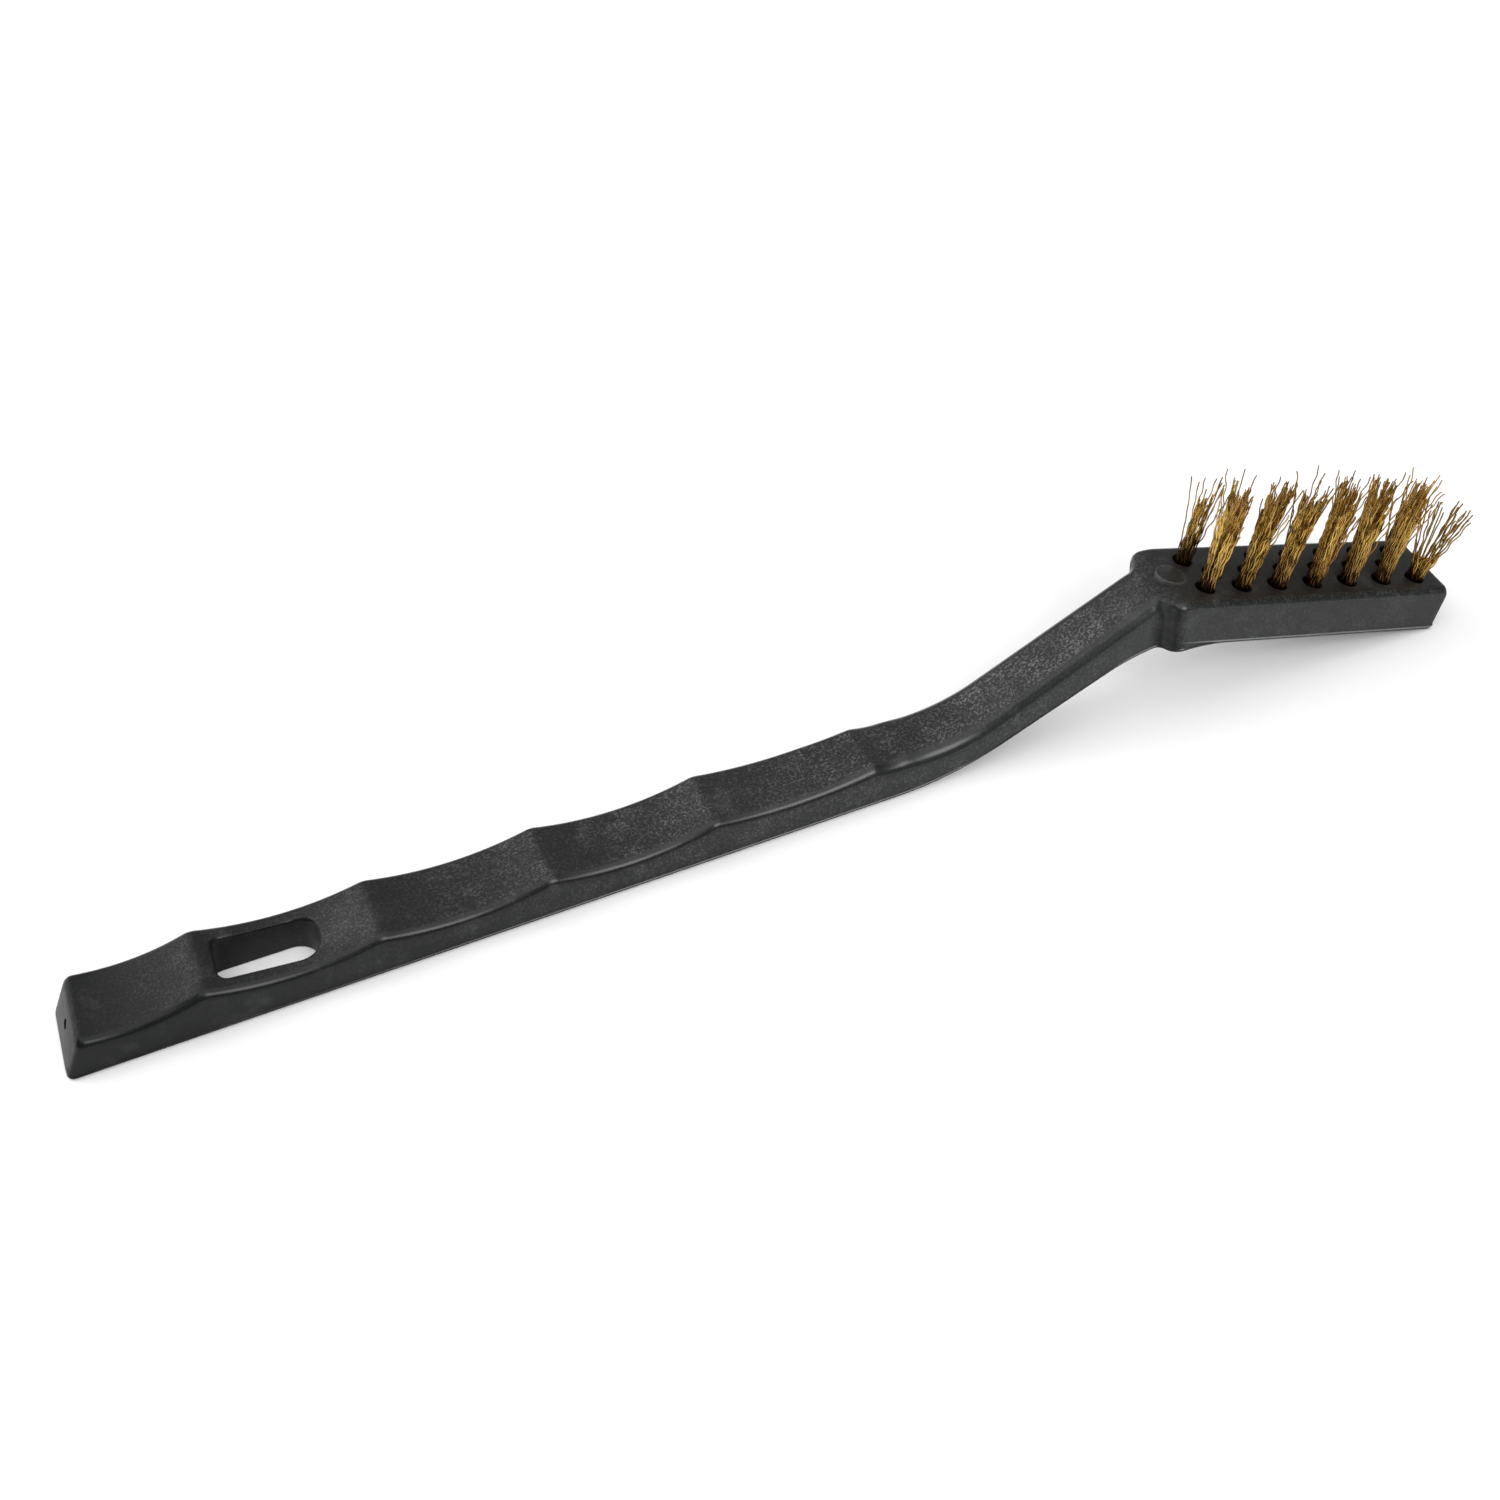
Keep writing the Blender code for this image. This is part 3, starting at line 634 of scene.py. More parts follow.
# Painted shade in the crease of the shoulder between neck and head: there the specks, the paler side grey and
# most of the gloss are taken away.
painted_crease_shade = add(tree, "ShaderNodeMath", {0: along, 1: TEXTURE_END + SHOULDER_LENGTH / 2}, operation="SUBTRACT")
painted_crease_shade = add(tree, "ShaderNodeMath", {0: painted_crease_shade}, operation="ABSOLUTE")
painted_crease_shade = add(tree, "ShaderNodeMapRange", {"Value": painted_crease_shade, "From Min": CREASE_SHADE_REACH, "From Max": 0.0})
steep = add(tree, "ShaderNodeMapRange", {"Value": normal.outputs["Z"], "From Min": 0.7, "From Max": 0.2})
painted_crease_shade = add(tree, "ShaderNodeMath", {0: painted_crease_shade, 1: steep}, operation="MULTIPLY")
clear_of_crease_shade = add(tree, "ShaderNodeMath", {0: 1.0, 1: painted_crease_shade}, operation="SUBTRACT")
speck = add(tree, "ShaderNodeMath", {0: speck, 1: clear_of_crease_shade}, operation="MULTIPLY")
apart = add(tree, "ShaderNodeVectorMath", {0: place, 1: DUST_PLACE}, operation="DISTANCE").outputs["Value"]
dust_and_end_light = add(tree, "ShaderNodeMapRange", {"Value": apart, "From Min": DUST_REACH, "From Max": 0.0,
                                        "To Max": DUST_SHARE})
dust_and_end_light = add(tree, "ShaderNodeMath", {0: dust_and_end_light, 1: worn}, operation="MULTIPLY")
# Faces turned to the hanging end, the end facet most, are painted paler and mottled: partly dust, partly
# painted light from the left.
end_dust_and_light = add(tree, "ShaderNodeMapRange", {"Value": normal.outputs["X"], "From Min": -0.6, "From Max": -0.85,
                                            "To Max": END_DUST_AND_LIGHT_SHARE})
end_dust_and_light = add(tree, "ShaderNodeMath", {0: end_dust_and_light, 1: worn}, operation="MULTIPLY")
dust_and_end_light = add(tree, "ShaderNodeMath", {0: dust_and_end_light, 1: end_dust_and_light}, operation="MAXIMUM")
smudge = add(tree, "ShaderNodeMapRange", {"Value": patches.outputs[0], "From Min": 0.55, "From Max": 0.75,
                                          "To Max": SMUDGE_SHARE})
dust_and_end_light = add(tree, "ShaderNodeMath", {0: dust_and_end_light, 1: smudge}, operation="MAXIMUM")
base = add(tree, "ShaderNodeMix", {"Factor": patches.outputs[0], "A": linear(BLACK_DEEP),
                                   "B": linear(BLACK_DULL)}, data_type="RGBA")
# The sides turn paler grey along the neck, less so on the head.
paler_sides = add(tree, "ShaderNodeMapRange", {"Value": along, "From Min": END_GRADIENT_TO, "From Max": TEXTURE_END})
paler_sides = add(tree, "ShaderNodeMath", {0: paler_sides, 1: sideways}, operation="MULTIPLY")
paler_sides = add(tree, "ShaderNodeMath", {0: paler_sides, 1: clear_of_crease_shade}, operation="MULTIPLY")
on_neck = add(tree, "ShaderNodeMapRange", {"Value": along, "From Min": TEXTURE_END, "To Min": 1.0,
                                           "From Max": TEXTURE_END + SHOULDER_BEFORE_HOLES,
                                           "To Max": HEAD_SIDE_SHARE})
paler_sides = add(tree, "ShaderNodeMath", {0: paler_sides, 1: on_neck}, operation="MULTIPLY")
base = add(tree, "ShaderNodeMix", {"Factor": paler_sides, "A": base.outputs["Result"], "B": linear(SIDE_GREY)},
           data_type="RGBA")
colour = add(tree, "ShaderNodeMix", {"Factor": dust_and_end_light, "A": base.outputs["Result"], "B": linear(DUST_AND_LIGHT_GREY)},
             data_type="RGBA")
colour = add(tree, "ShaderNodeMix", {"Factor": speck, "A": colour.outputs["Result"], "B": linear(SPECK_GREY)},
             data_type="RGBA")
# Painted highlight: a thin pale line round the rim of the ejector pad, and another along the flash line on
# the head.
from_pad = add(tree, "ShaderNodeVectorMath", {0: place, 1: PAD_PLACE}, operation="DISTANCE").outputs["Value"]
from_rim = add(tree, "ShaderNodeMath", {0: from_pad, 1: EJECTOR_PAD_DIAMETER / 2}, operation="SUBTRACT")
from_rim = add(tree, "ShaderNodeMath", {0: from_rim}, operation="ABSOLUTE")
painted_lightening = add(tree, "ShaderNodeMapRange", {"Value": from_rim, "From Min": PAINTED_LINE_WIDTH, "From Max": 0.0,
                                          "To Max": PAD_RIM_HIGHLIGHT_SHARE})
face_level = add(tree, "ShaderNodeVectorMath", {0: place, 1: (OUT_OF_FACE.x, 0.0, OUT_OF_FACE.y)},
                 operation="DOT_PRODUCT").outputs["Value"]
from_flash = add(tree, "ShaderNodeMath", {0: face_level, 1: FLASH_LEVEL}, operation="SUBTRACT")
from_flash = add(tree, "ShaderNodeMath", {0: from_flash}, operation="ABSOLUTE")
flash = add(tree, "ShaderNodeMapRange", {"Value": from_flash, "From Min": PAINTED_LINE_WIDTH, "From Max": 0.0})
on_head = add(tree, "ShaderNodeMapRange", {"Value": along, "From Min": TEXTURE_END + SHOULDER_LENGTH,
                                           "From Max": TEXTURE_END + SHOULDER_BEFORE_HOLES,
                                           "To Max": FLASH_HIGHLIGHT_SHARE})
flash = add(tree, "ShaderNodeMath", {0: flash, 1: on_head}, operation="MULTIPLY")
painted_lightening = add(tree, "ShaderNodeMath", {0: painted_lightening, 1: worn}, operation="MULTIPLY")
painted_lightening = add(tree, "ShaderNodeMath", {0: painted_lightening, 1: flash}, operation="MAXIMUM")
colour = add(tree, "ShaderNodeMix", {"Factor": painted_lightening, "A": colour.outputs["Result"],
                                     "B": linear(PAINTED_HIGHLIGHT_GREY)}, data_type="RGBA")
polish = add(tree, "ShaderNodeMapRange", {"Value": edge, "To Min": ROUGHNESS, "To Max": RUBBED_ROUGHNESS})
sheen = add(tree, "ShaderNodeMapRange", {"Value": along, "From Min": END_GRADIENT_FROM, "From Max": END_GRADIENT_TO,
                                         "To Min": END_GLOSS, "To Max": NECK_GLOSS})
sheen = add(tree, "ShaderNodeMath", {0: sheen, 1: clear_of_crease_shade}, operation="MULTIPLY")
relief = add(tree, "ShaderNodeBump", {"Height": sparks, "Distance": SPARK_DEPTH, "Strength": textured})
# The gloss is set as a value and then linked, so that an export without the link still has the mean.
shader = add(tree, "ShaderNodeBsdfPrincipled", {
    "Base Color": colour.outputs["Result"], "Normal": relief, "Roughness": polish, "IOR": PLASTIC_IOR,
    "Specular IOR Level": MEAN_GLOSS,
})
tree.links.new(sheen.outputs[0], shader.inputs["Specular IOR Level"])
add(tree, "ShaderNodeOutputMaterial", {"Surface": shader})
handle.data.materials.clear()
handle.data.materials.append(plastic)
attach(handle, "root")
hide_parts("handle")

# Anchors
# Short pieces of flat brass wire, driven across the holes through the folds of the tufts. They keep the
# solids of the frame, and show only when a tuft is taken out. Rolling leaves them bright with a satin grain.
ANCHOR_GRAIN = 0.0004
ANCHOR_DARK = "#9c7a38"
ANCHOR_BRIGHT = "#c9a860"
ANCHOR_ROUGHNESS = 0.35

anchor_metal, tree = new_material("brass_flat_rolled_wire")
place = add(tree, "ShaderNodeTexCoord").outputs["Object"]
grain = add(tree, "ShaderNodeTexNoise", {"Vector": place, "Scale": 1 / ANCHOR_GRAIN, "Detail": 2.0})
colour = add(tree, "ShaderNodeMix", {"Factor": grain, "A": linear(ANCHOR_DARK), "B": linear(ANCHOR_BRIGHT)},
             data_type="RGBA")
shader = add(tree, "ShaderNodeBsdfPrincipled", {
    "Base Color": colour.outputs["Result"], "Metallic": 1.0, "Roughness": ANCHOR_ROUGHNESS,
})
add(tree, "ShaderNodeOutputMaterial", {"Surface": shader})
for name, _ in HOLES:
    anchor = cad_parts[f"anchor_{name}"]
    anchor.data.materials.clear()
    anchor.data.materials.append(anchor_metal)

# Tufts
# Bundles of drawn and crimped brass wires, folded over the anchors in the holes. They part into a few clumps
# towards their ragged cut ends, and glint where a crimp faces the light. Use has tarnished them in brown
# spots and has splayed the tuft at the front corner of the tip. The feet are darker brown, partly tarnish
# and partly painted shade. Painted light makes the wires paler towards the top, and painted shade darkens
# their cut ends.
WIRES = 76
WIRE_RADIUS = 0.000085
WIRE_SIDES = 5
WIRE_POINTS = 48
TUFT_HEIGHT = 0.0121
TUFT_TRIM_SHARE = 0.2
CLUMP_TRIM_SHARE = 0.3
STRAY_SHARE = 0.06
STRAY_LENGTH_SHARE = 1.03
STRAY_FAN = 1.6
ROOT_RADIUS = 0.00098
ROOT_SHIFT = (0.0001, 0.0, 0.0)
# The wires are drawn from just above the anchor and without the fold, which never shows.
ROOT_DEPTH = 0.002
TUFT_LEAN = (-0.04, 0.0, 0.0)
LEAN_SPREAD = 0.03
SPREAD_SHARE = 0.95
CLUMPS = 5
CLUMP_SHIFT = 0.0005
GATHER = 0.78
CLUMP_PLACE_SHARE = 0.6
WANDER = 0.00045
CRIMP_HEIGHT = 0.0001
CRIMP_PITCH = 0.0026
BEND_POWER = 1.5
GOLDEN_ANGLE = math.pi * (3 - math.sqrt(5))
SEED = 7
SEED_STEP = 100
STRAY_DARKER = 0.5
BRASS_DARK = "#9a6c24"
BRASS_BRIGHT = "#ffdc80"
COPPER = "#b6743e"
SPOT_BROWN = "#5c4018"
FOOT_BROWN = "#7d5c3c"
TIP_BROWN = "#33241a"
BRASS_ROUGHNESS = 0.25
SPOTS_PER_MM = 0.7
TONE_WEIGHT = 0.7
FOOT_SIDE_WEIGHT = 0.09
HABITS = {
    "rear_1": {
        "Wires": 44, "Height": 0.0106, "Lean": (0.0, 0.0, 0.0), "Spread Share": 0.4,
        "Stray Share": 0.12, "Stray Fan": 3.0, "Stray Length Share": 1.1,
    },
    "rear_7": {
        "Lean": (0.02, 0.0, 0.0), "Stray Share": 0.16, "Stray Fan": 2.5, "Stray Length Share": 0.9,
    },
    "front_7": {
        "Wires": 84, "Height": 0.004, "Lean": (0.08, 0.02, 0.0), "Spread Share": 0.3, "Bend Power": 1.1,
        "Stray Share": 0.28, "Stray Fan": 1.4, "Stray Length Share": 2.6, "Clump Shift": 0.0003,
        "Wander": 0.0003, "Gather": 0.2, "Wire Radius": 0.0001,
    },
}

brass, tree = new_material("brass_crimped_wire_tarnished")
tone = add(tree, "ShaderNodeAttribute", attribute_name="wire_tone").outputs["Fac"]
reach = add(tree, "ShaderNodeAttribute", attribute_name="wire_reach").outputs["Fac"]
side = add(tree, "ShaderNodeAttribute", attribute_name="wire_side").outputs["Fac"]
place = add(tree, "ShaderNodeTexCoord").outputs["Object"]
tarnish = add(tree, "ShaderNodeTexNoise", {"Vector": place, "Scale": 1000 * SPOTS_PER_MM, "Detail": 3.0})
# Painted light: the wires are painted paler towards the top, on top of the random tone of each wire.
painted_lightening = add(tree, "ShaderNodeMapRange", {"Value": reach, "To Max": 0.3})
touched_up = add(tree, "ShaderNodeMath", {0: tone, 1: TONE_WEIGHT, 2: painted_lightening}, operation="MULTIPLY_ADD")
colour = add(tree, "ShaderNodeMix", {"Factor": touched_up, "A": linear(BRASS_DARK), "B": linear(BRASS_BRIGHT)},
             data_type="RGBA")
copper = add(tree, "ShaderNodeMapRange", {"Value": side, "From Min": 0.3, "From Max": 1.0, "To Max": 0.5})
colour = add(tree, "ShaderNodeMix", {"Factor": copper, "A": colour.outputs["Result"], "B": linear(COPPER)},
             data_type="RGBA")
spots = add(tree, "ShaderNodeMapRange", {"Value": tarnish.outputs[0], "From Min": 0.52, "From Max": 0.75})
colour = add(tree, "ShaderNodeMix", {"Factor": spots, "A": colour.outputs["Result"], "B": linear(SPOT_BROWN)},
             data_type="RGBA")
# The feet are painted darker brown, more on the side towards the hanging end: partly tarnish, partly painted
# shade of the holes.
foot = add(tree, "ShaderNodeMath", {0: side, 1: FOOT_SIDE_WEIGHT, 2: reach}, operation="MULTIPLY_ADD")
foot = add(tree, "ShaderNodeMapRange", {"Value": foot, "From Min": 0.5, "From Max": 0.0, "To Max": 0.9})
colour = add(tree, "ShaderNodeMix", {"Factor": foot, "A": colour.outputs["Result"], "B": linear(FOOT_BROWN)},
             data_type="RGBA")
# Painted shade: the wires darken towards their cut ends.
tip = add(tree, "ShaderNodeMapRange", {"Value": reach, "From Min": 0.8, "From Max": 1.05, "To Max": 0.45})
colour = add(tree, "ShaderNodeMix", {"Factor": tip, "A": colour.outputs["Result"], "B": linear(TIP_BROWN)},
             data_type="RGBA")
shader = add(tree, "ShaderNodeBsdfPrincipled", {
    "Base Color": colour.outputs["Result"], "Metallic": 1.0, "Roughness": BRASS_ROUGHNESS,
})
add(tree, "ShaderNodeOutputMaterial", {"Surface": shader})

tufts = bpy.data.node_groups.new("crimped_wire_tuft", "GeometryNodeTree")
sockets = {}
for name, kind, value in (
    ("Wires", "NodeSocketInt", WIRES),
    ("Seed", "NodeSocketInt", SEED),
    ("Wire Radius", "NodeSocketFloat", WIRE_RADIUS),
    ("Height", "NodeSocketFloat", TUFT_HEIGHT),
    ("Trim Share", "NodeSocketFloat", TUFT_TRIM_SHARE),
    ("Clump Trim Share", "NodeSocketFloat", CLUMP_TRIM_SHARE),
    ("Stray Share", "NodeSocketFloat", STRAY_SHARE),
    ("Stray Length Share", "NodeSocketFloat", STRAY_LENGTH_SHARE),
    ("Stray Fan", "NodeSocketFloat", STRAY_FAN),
    ("Root Radius", "NodeSocketFloat", ROOT_RADIUS),
    ("Root Shift", "NodeSocketVector", ROOT_SHIFT),
    ("Root Depth", "NodeSocketFloat", ROOT_DEPTH),
    ("Spread Share", "NodeSocketFloat", SPREAD_SHARE),
    ("Lean", "NodeSocketVector", TUFT_LEAN),
    ("Clumps", "NodeSocketFloat", float(CLUMPS)),
    ("Clump Shift", "NodeSocketFloat", CLUMP_SHIFT),
    ("Gather", "NodeSocketFloat", GATHER),
    ("Wander", "NodeSocketFloat", WANDER),
    ("Bend Power", "NodeSocketFloat", BEND_POWER),
    ("Crimp Height", "NodeSocketFloat", CRIMP_HEIGHT),
    ("Crimp Pitch", "NodeSocketFloat", CRIMP_PITCH),
    ("Material", "NodeSocketMaterial", None),
):
    socket = tufts.interface.new_socket(name, in_out="INPUT", socket_type=kind)
    if value is not None:
        socket.default_value = value
    sockets[name] = socket.identifier
tufts.interface.new_socket("Geometry", in_out="OUTPUT", socket_type="NodeSocketGeometry")
given = add(tufts, "NodeGroupInput").outputs
line = add(tufts, "GeometryNodeCurvePrimitiveLine")
line = add(tufts, "GeometryNodeResampleCurve", {"Curve": line, "Count": WIRE_POINTS})
copies = add(tufts, "GeometryNodeDuplicateElements", {"Geometry": line, "Amount": given["Wires"]},
             domain="SPLINE")
wire = copies.outputs["Duplicate Index"]
step = add(tufts, "GeometryNodeSplineParameter").outputs["Factor"]

angle = add(tufts, "ShaderNodeMath", {0: wire, 1: GOLDEN_ANGLE}, operation="MULTIPLY")
turned_share = add(tufts, "ShaderNodeMath", {0: angle, 1: 2 * math.pi}, operation="DIVIDE")
turned_share = add(tufts, "ShaderNodeMath", {0: turned_share}, operation="FRACT")
sector = add(tufts, "ShaderNodeMath", {0: turned_share, 1: given["Clumps"]}, operation="MULTIPLY")
clump = add(tufts, "ShaderNodeMath", {0: sector}, operation="FLOOR")

# Random draws: each has its own offset to the tuft's seed, and one value for each wire or each clump.
# Random Value has its least, its greatest and its result in other sockets for a number than for a vector.
DRAW_SOCKETS = {"FLOAT": (2, 3, 1), "FLOAT_VECTOR": (0, 1, 0)}
drawn = {}
for name, offset, each, kind, least, greatest in (
    ("clump trim", 9, clump, "FLOAT", 0.0, 1.0),
    ("trim", 1, wire, "FLOAT", 0.0, 1.0),
    ("stray", 2, wire, "FLOAT", 0.0, 1.0),
    ("clump shift", 4, clump, "FLOAT_VECTOR", (-1, -1, 0), (1, 1, 0)),
    ("wander", 5, wire, "FLOAT_VECTOR", (-1, -1, 0), (1, 1, 0)),
    ("crimp start", 6, wire, "FLOAT", 0.0, 2 * math.pi),
    ("crimp side", 7, wire, "FLOAT_VECTOR", (-1, -1, 0), (1, 1, 0)),
    ("tone", 8, wire, "FLOAT", 0.0, 1.0),
):
    seed = add(tufts, "ShaderNodeMath", {0: given["Seed"], 1: float(offset)}, operation="ADD")
    least_at, greatest_at, result_at = DRAW_SOCKETS[kind]
    random_value = add(tufts, "FunctionNodeRandomValue", {
        "ID": each, "Seed": seed, least_at: least, greatest_at: greatest,
    }, data_type=kind)
    drawn[name] = random_value.outputs[result_at]

# Length of each wire and the height reached along it.
trimmed = add(tufts, "ShaderNodeMath", {0: drawn["clump trim"], 1: given["Clump Trim Share"]},
              operation="MULTIPLY")
trimmed = add(tufts, "ShaderNodeMath", {0: drawn["trim"], 1: given["Trim Share"], 2: trimmed},
              operation="MULTIPLY_ADD")
stray = add(tufts, "ShaderNodeMath", {0: drawn["stray"], 1: given["Stray Share"]}, operation="LESS_THAN")
left = add(tufts, "ShaderNodeMath", {0: 1.0, 1: trimmed}, operation="SUBTRACT")
share = add(tufts, "ShaderNodeMix", {"Factor": stray, "A": left, "B": given["Stray Length Share"]})
whole = add(tufts, "ShaderNodeMath", {0: share, 1: given["Height"], 2: given["Root Depth"]},
            operation="MULTIPLY_ADD")
level = add(tufts, "ShaderNodeMath", {0: whole, 1: step}, operation="MULTIPLY")
level = add(tufts, "ShaderNodeMath", {0: level, 1: given["Root Depth"]}, operation="SUBTRACT")
above = add(tufts, "ShaderNodeMath", {0: level, 1: 0.0}, operation="MAXIMUM")
reach = add(tufts, "ShaderNodeMath", {0: above, 1: given["Height"]}, operation="DIVIDE")
bend = add(tufts, "ShaderNodeMath", {0: reach, 1: given["Bend Power"]}, operation="POWER")

# Place of each wire in the bundle, and how far it fans out.
fill = add(tufts, "ShaderNodeMath", {0: wire, 1: 0.5}, operation="ADD")
fill = add(tufts, "ShaderNodeMath", {0: fill, 1: given["Wires"]}, operation="DIVIDE")
from_middle = add(tufts, "ShaderNodeMath", {0: fill}, operation="SQRT")
radius = add(tufts, "ShaderNodeMath", {0: from_middle, 1: given["Root Radius"]}, operation="MULTIPLY")
cosine = add(tufts, "ShaderNodeMath", {0: angle}, operation="COSINE")
sine = add(tufts, "ShaderNodeMath", {0: angle}, operation="SINE")
facing = add(tufts, "ShaderNodeCombineXYZ", {"X": cosine, "Y": sine})
root = add(tufts, "ShaderNodeVectorMath", {0: facing, "Scale": radius}, operation="SCALE")
stray_fan = add(tufts, "ShaderNodeMath", {0: stray, 1: given["Stray Fan"], 2: 1.0}, operation="MULTIPLY_ADD")
fan = add(tufts, "ShaderNodeMath", {0: bend, 1: given["Spread Share"]}, operation="MULTIPLY")
fan = add(tufts, "ShaderNodeMath", {0: fan, 1: stray_fan}, operation="MULTIPLY")

# Middle of each wire's clump, towards which the wires gather.
middle_angle = add(tufts, "ShaderNodeMath", {0: clump, 1: 0.5}, operation="ADD")
middle_angle = add(tufts, "ShaderNodeMath", {0: middle_angle, 1: 2 * math.pi}, operation="MULTIPLY")
middle_angle = add(tufts, "ShaderNodeMath", {0: middle_angle, 1: given["Clumps"]}, operation="DIVIDE")
cosine = add(tufts, "ShaderNodeMath", {0: middle_angle}, operation="COSINE")
sine = add(tufts, "ShaderNodeMath", {0: middle_angle}, operation="SINE")
middle = add(tufts, "ShaderNodeCombineXYZ", {"X": cosine, "Y": sine})
apart = add(tufts, "ShaderNodeMath", {0: given["Root Radius"], 1: CLUMP_PLACE_SHARE}, operation="MULTIPLY")
middle = add(tufts, "ShaderNodeVectorMath", {0: middle, "Scale": apart}, operation="SCALE")
fanned = []
for foot_place in (root, middle):
    outwards = add(tufts, "ShaderNodeVectorMath", {0: foot_place, "Scale": fan}, operation="SCALE")
    fanned.append(add(tufts, "ShaderNodeVectorMath", {0: foot_place, 1: outwards}, operation="ADD"))
pull = add(tufts, "ShaderNodeMath", {0: bend, 1: given["Gather"]}, operation="MULTIPLY")
gathers = add(tufts, "ShaderNodeMath", {0: 1.0, 1: stray}, operation="SUBTRACT")
pull = add(tufts, "ShaderNodeMath", {0: pull, 1: gathers}, operation="MULTIPLY")
bundled = add(tufts, "ShaderNodeMix", {"Factor": pull, "A": fanned[0], "B": fanned[1]}, data_type="VECTOR")

# Shift of each clump, wander of each wire, lean of the tuft, and the crimp as a small wave.
shifts = []
for direction, most in ((drawn["clump shift"], given["Clump Shift"]), (drawn["wander"], given["Wander"])):
    shift = add(tufts, "ShaderNodeVectorMath", {0: direction, "Scale": bend}, operation="SCALE")
    shifts.append(add(tufts, "ShaderNodeVectorMath", {0: shift, "Scale": most}, operation="SCALE"))
leaned = add(tufts, "ShaderNodeVectorMath", {0: given["Lean"], "Scale": above}, operation="SCALE")
wave = add(tufts, "ShaderNodeMath", {0: level, 1: given["Crimp Pitch"]}, operation="DIVIDE")
wave = add(tufts, "ShaderNodeMath", {0: wave, 1: 2 * math.pi, 2: drawn["crimp start"]},
           operation="MULTIPLY_ADD")
wave = add(tufts, "ShaderNodeMath", {0: wave}, operation="SINE")
wave = add(tufts, "ShaderNodeMath", {0: wave, 1: given["Crimp Height"]}, operation="MULTIPLY")
crimp = add(tufts, "ShaderNodeVectorMath", {0: drawn["crimp side"]}, operation="NORMALIZE")
crimp = add(tufts, "ShaderNodeVectorMath", {0: crimp, "Scale": wave}, operation="SCALE")
position = add(tufts, "ShaderNodeCombineXYZ", {"Z": level})
for part in (given["Root Shift"], bundled.outputs["Result"], leaned, *shifts, crimp):
    position = add(tufts, "ShaderNodeVectorMath", {0: position, 1: part}, operation="ADD")

# The wires as solids, with what the material reads: how high, how bright and how far to the side they are.
wires = add(tufts, "GeometryNodeSetPosition", {"Geometry": copies, "Position": position})
side = add(tufts, "ShaderNodeVectorMath", {0: facing, "Scale": from_middle}, operation="SCALE")
side = add(tufts, "ShaderNodeSeparateXYZ", {0: side}).outputs["X"]
shade = add(tufts, "ShaderNodeMath", {0: stray, 1: -STRAY_DARKER, 2: 1.0}, operation="MULTIPLY_ADD")
tone = add(tufts, "ShaderNodeMath", {0: drawn["tone"], 1: shade}, operation="MULTIPLY")
for name, value in (("wire_reach", reach), ("wire_tone", tone), ("wire_side", side)):
    wires = add(tufts, "GeometryNodeStoreNamedAttribute", {"Geometry": wires, "Name": name, "Value": value},
                domain="POINT")
outline = add(tufts, "GeometryNodeCurvePrimitiveCircle", {"Resolution": WIRE_SIDES,
                                                          "Radius": given["Wire Radius"]})
solid = add(tufts, "GeometryNodeCurveToMesh", {"Curve": wires, "Profile Curve": outline, "Fill Caps": True})
solid = add(tufts, "GeometryNodeRealizeInstances", {"Geometry": solid})
solid = add(tufts, "GeometryNodeSetMaterial", {"Geometry": solid, "Material": given["Material"]})
add(tufts, "NodeGroupOutput", {"Geometry": solid})

leaning = random.Random(SEED)
for index, (name, place) in enumerate(HOLES):
    tuft = bpy.data.objects.new(f"wire_tuft_{name}", bpy.data.meshes.new(f"wire_tuft_{name}"))
    bpy.context.scene.collection.objects.link(tuft)
    grown = tuft.modifiers.new("wires", "NODES")
    grown.node_group = tufts
    lean = [share + leaning.uniform(-LEAN_SPREAD, LEAN_SPREAD) for share in TUFT_LEAN[:2]]
    values = {"Seed": SEED + SEED_STEP * index, "Material": brass, "Lean": (*lean, 0.0)}
    values.update(HABITS.get(name, {}))
    for socket, value in values.items():
        grown[sockets[socket]] = value
    bpy.context.view_layer.update()
    made = bpy.data.meshes.new_from_object(tuft.evaluated_get(bpy.context.evaluated_depsgraph_get()))
    tuft.modifiers.clear()
    made.transform(TO_ORIGIN @ HEAD_MATRIX @ Matrix.Translation(place))
    made.shade_smooth()
    tuft.data = made
    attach(tuft, "root")
    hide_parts(f"tuft_{name}")

# Floor, lamps and camera
# A sweep of matt white paper, which mirrors nothing and glows more with distance, so that it has no edge.
# Broad soft lamps stand behind to the left, behind to the right and overhead. A smaller one behind the camera
# gives the edges and the crimps their glints.
CAMERA_PLACE = (-0.01744, -0.17201, 0.18977)
CAMERA_TURN = ((0.93174, -0.35517, -0.07555), (-0.30157, -0.64099, -0.70582), (0.20226, 0.68043, -0.70435))
FOCAL_PIXELS = 2087.12
PHOTO_PIXELS = 1500
FLOOR_SIZE = 3.0
SWEEP_FROM = 0.3
SWEEP_TO = 0.9
SWEEP_GLOW = 0.085
PAPER_WHITE = "#f6f6f7"
PURE_WHITE = "#ffffff"
SKY_LEVEL = 0.2
SENSOR_WIDTH = 36.0
NEAREST_SEEN = 0.01
# Name, place, side in metres and watts of each lamp. All point at the origin.
LAMPS = (
    ("key_softbox", (-0.6, 0.65, 0.55), 1.1, 6.0),
    ("rear_softbox", (0.5, 0.66, 0.71), 1.0, 0.8),
    ("top_softbox", (0.0, -0.1, 1.0), 1.1, 6.5),
    ("window_behind_camera", (0.25, -0.84, 0.82), 0.5, 6.4),
)

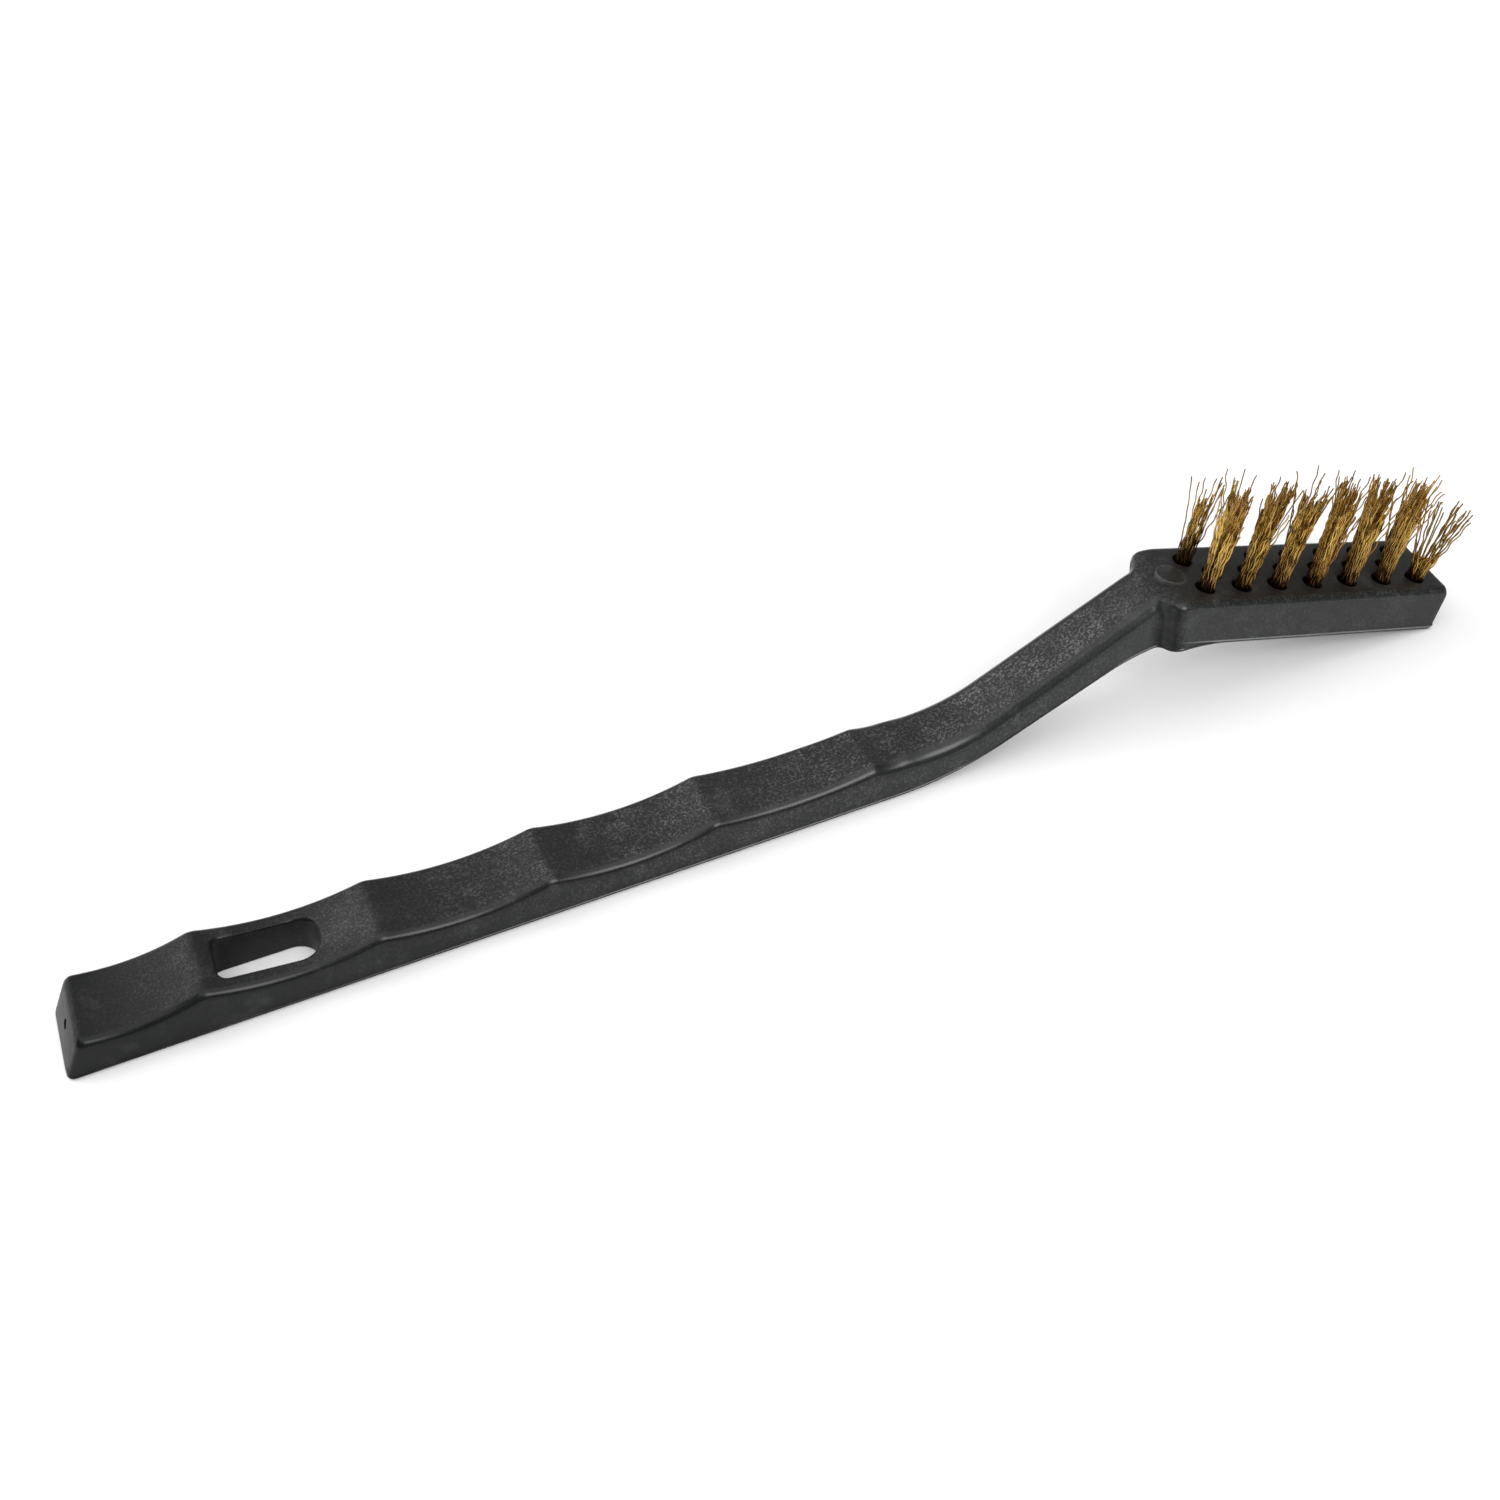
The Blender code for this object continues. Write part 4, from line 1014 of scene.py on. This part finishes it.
paper, tree = new_material("paper_white_matt_backdrop")
place = add(tree, "ShaderNodeTexCoord").outputs["Object"]
apart = add(tree, "ShaderNodeVectorMath", {0: place}, operation="LENGTH").outputs["Value"]
glow = add(tree, "ShaderNodeMapRange", {"Value": apart, "From Min": SWEEP_FROM, "From Max": SWEEP_TO,
                                        "To Min": SWEEP_GLOW})
ray = add(tree, "ShaderNodeLightPath")
glow = add(tree, "ShaderNodeMath", {0: ray.outputs["Is Camera Ray"], 1: glow}, operation="MULTIPLY")
shader = add(tree, "ShaderNodeBsdfDiffuse", {"Color": linear(PAPER_WHITE)})
light = add(tree, "ShaderNodeEmission", {"Color": linear(PURE_WHITE), "Strength": glow})
both = add(tree, "ShaderNodeAddShader", {0: shader, 1: light})
add(tree, "ShaderNodeOutputMaterial", {"Surface": both})
shape = bmesh.new()
bmesh.ops.create_grid(shape, x_segments=1, y_segments=1, size=FLOOR_SIZE / 2)
floor = mesh_object("floor", shape, Matrix.Identity(4))
floor.data.materials.append(paper)

world = bpy.data.worlds.new("studio")
world.use_nodes = True
world.node_tree.nodes.clear()
ray = add(world.node_tree, "ShaderNodeLightPath")
level = add(world.node_tree, "ShaderNodeMapRange", {"Value": ray.outputs["Is Camera Ray"],
                                                    "To Min": SKY_LEVEL, "To Max": 1.0})
sky = add(world.node_tree, "ShaderNodeBackground", {"Color": linear(PURE_WHITE), "Strength": level})
add(world.node_tree, "ShaderNodeOutputWorld", {"Surface": sky})
bpy.context.scene.world = world

for name, place, size, power in LAMPS:
    lamp = bpy.data.lights.new(name, "AREA")
    lamp.size = size
    lamp.energy = power
    made = bpy.data.objects.new(name, lamp)
    made.location = place
    made.rotation_euler = (-Vector(place)).to_track_quat("-Z", "Y").to_euler()
    bpy.context.scene.collection.objects.link(made)

right, down, forward = (Vector(row) for row in CAMERA_TURN)
lens = bpy.data.cameras.new("camera")
lens.sensor_width = SENSOR_WIDTH
lens.lens = FOCAL_PIXELS / PHOTO_PIXELS * lens.sensor_width
lens.clip_start = NEAREST_SEEN
camera = bpy.data.objects.new("camera", lens)
turned_to = Matrix((right, -down, -forward)).transposed().to_4x4()
camera.matrix_world = Matrix.Translation(CAMERA_PLACE) @ turned_to
bpy.context.scene.collection.objects.link(camera)
bpy.context.scene.camera = camera
bpy.context.scene.view_settings.view_transform = "Standard"
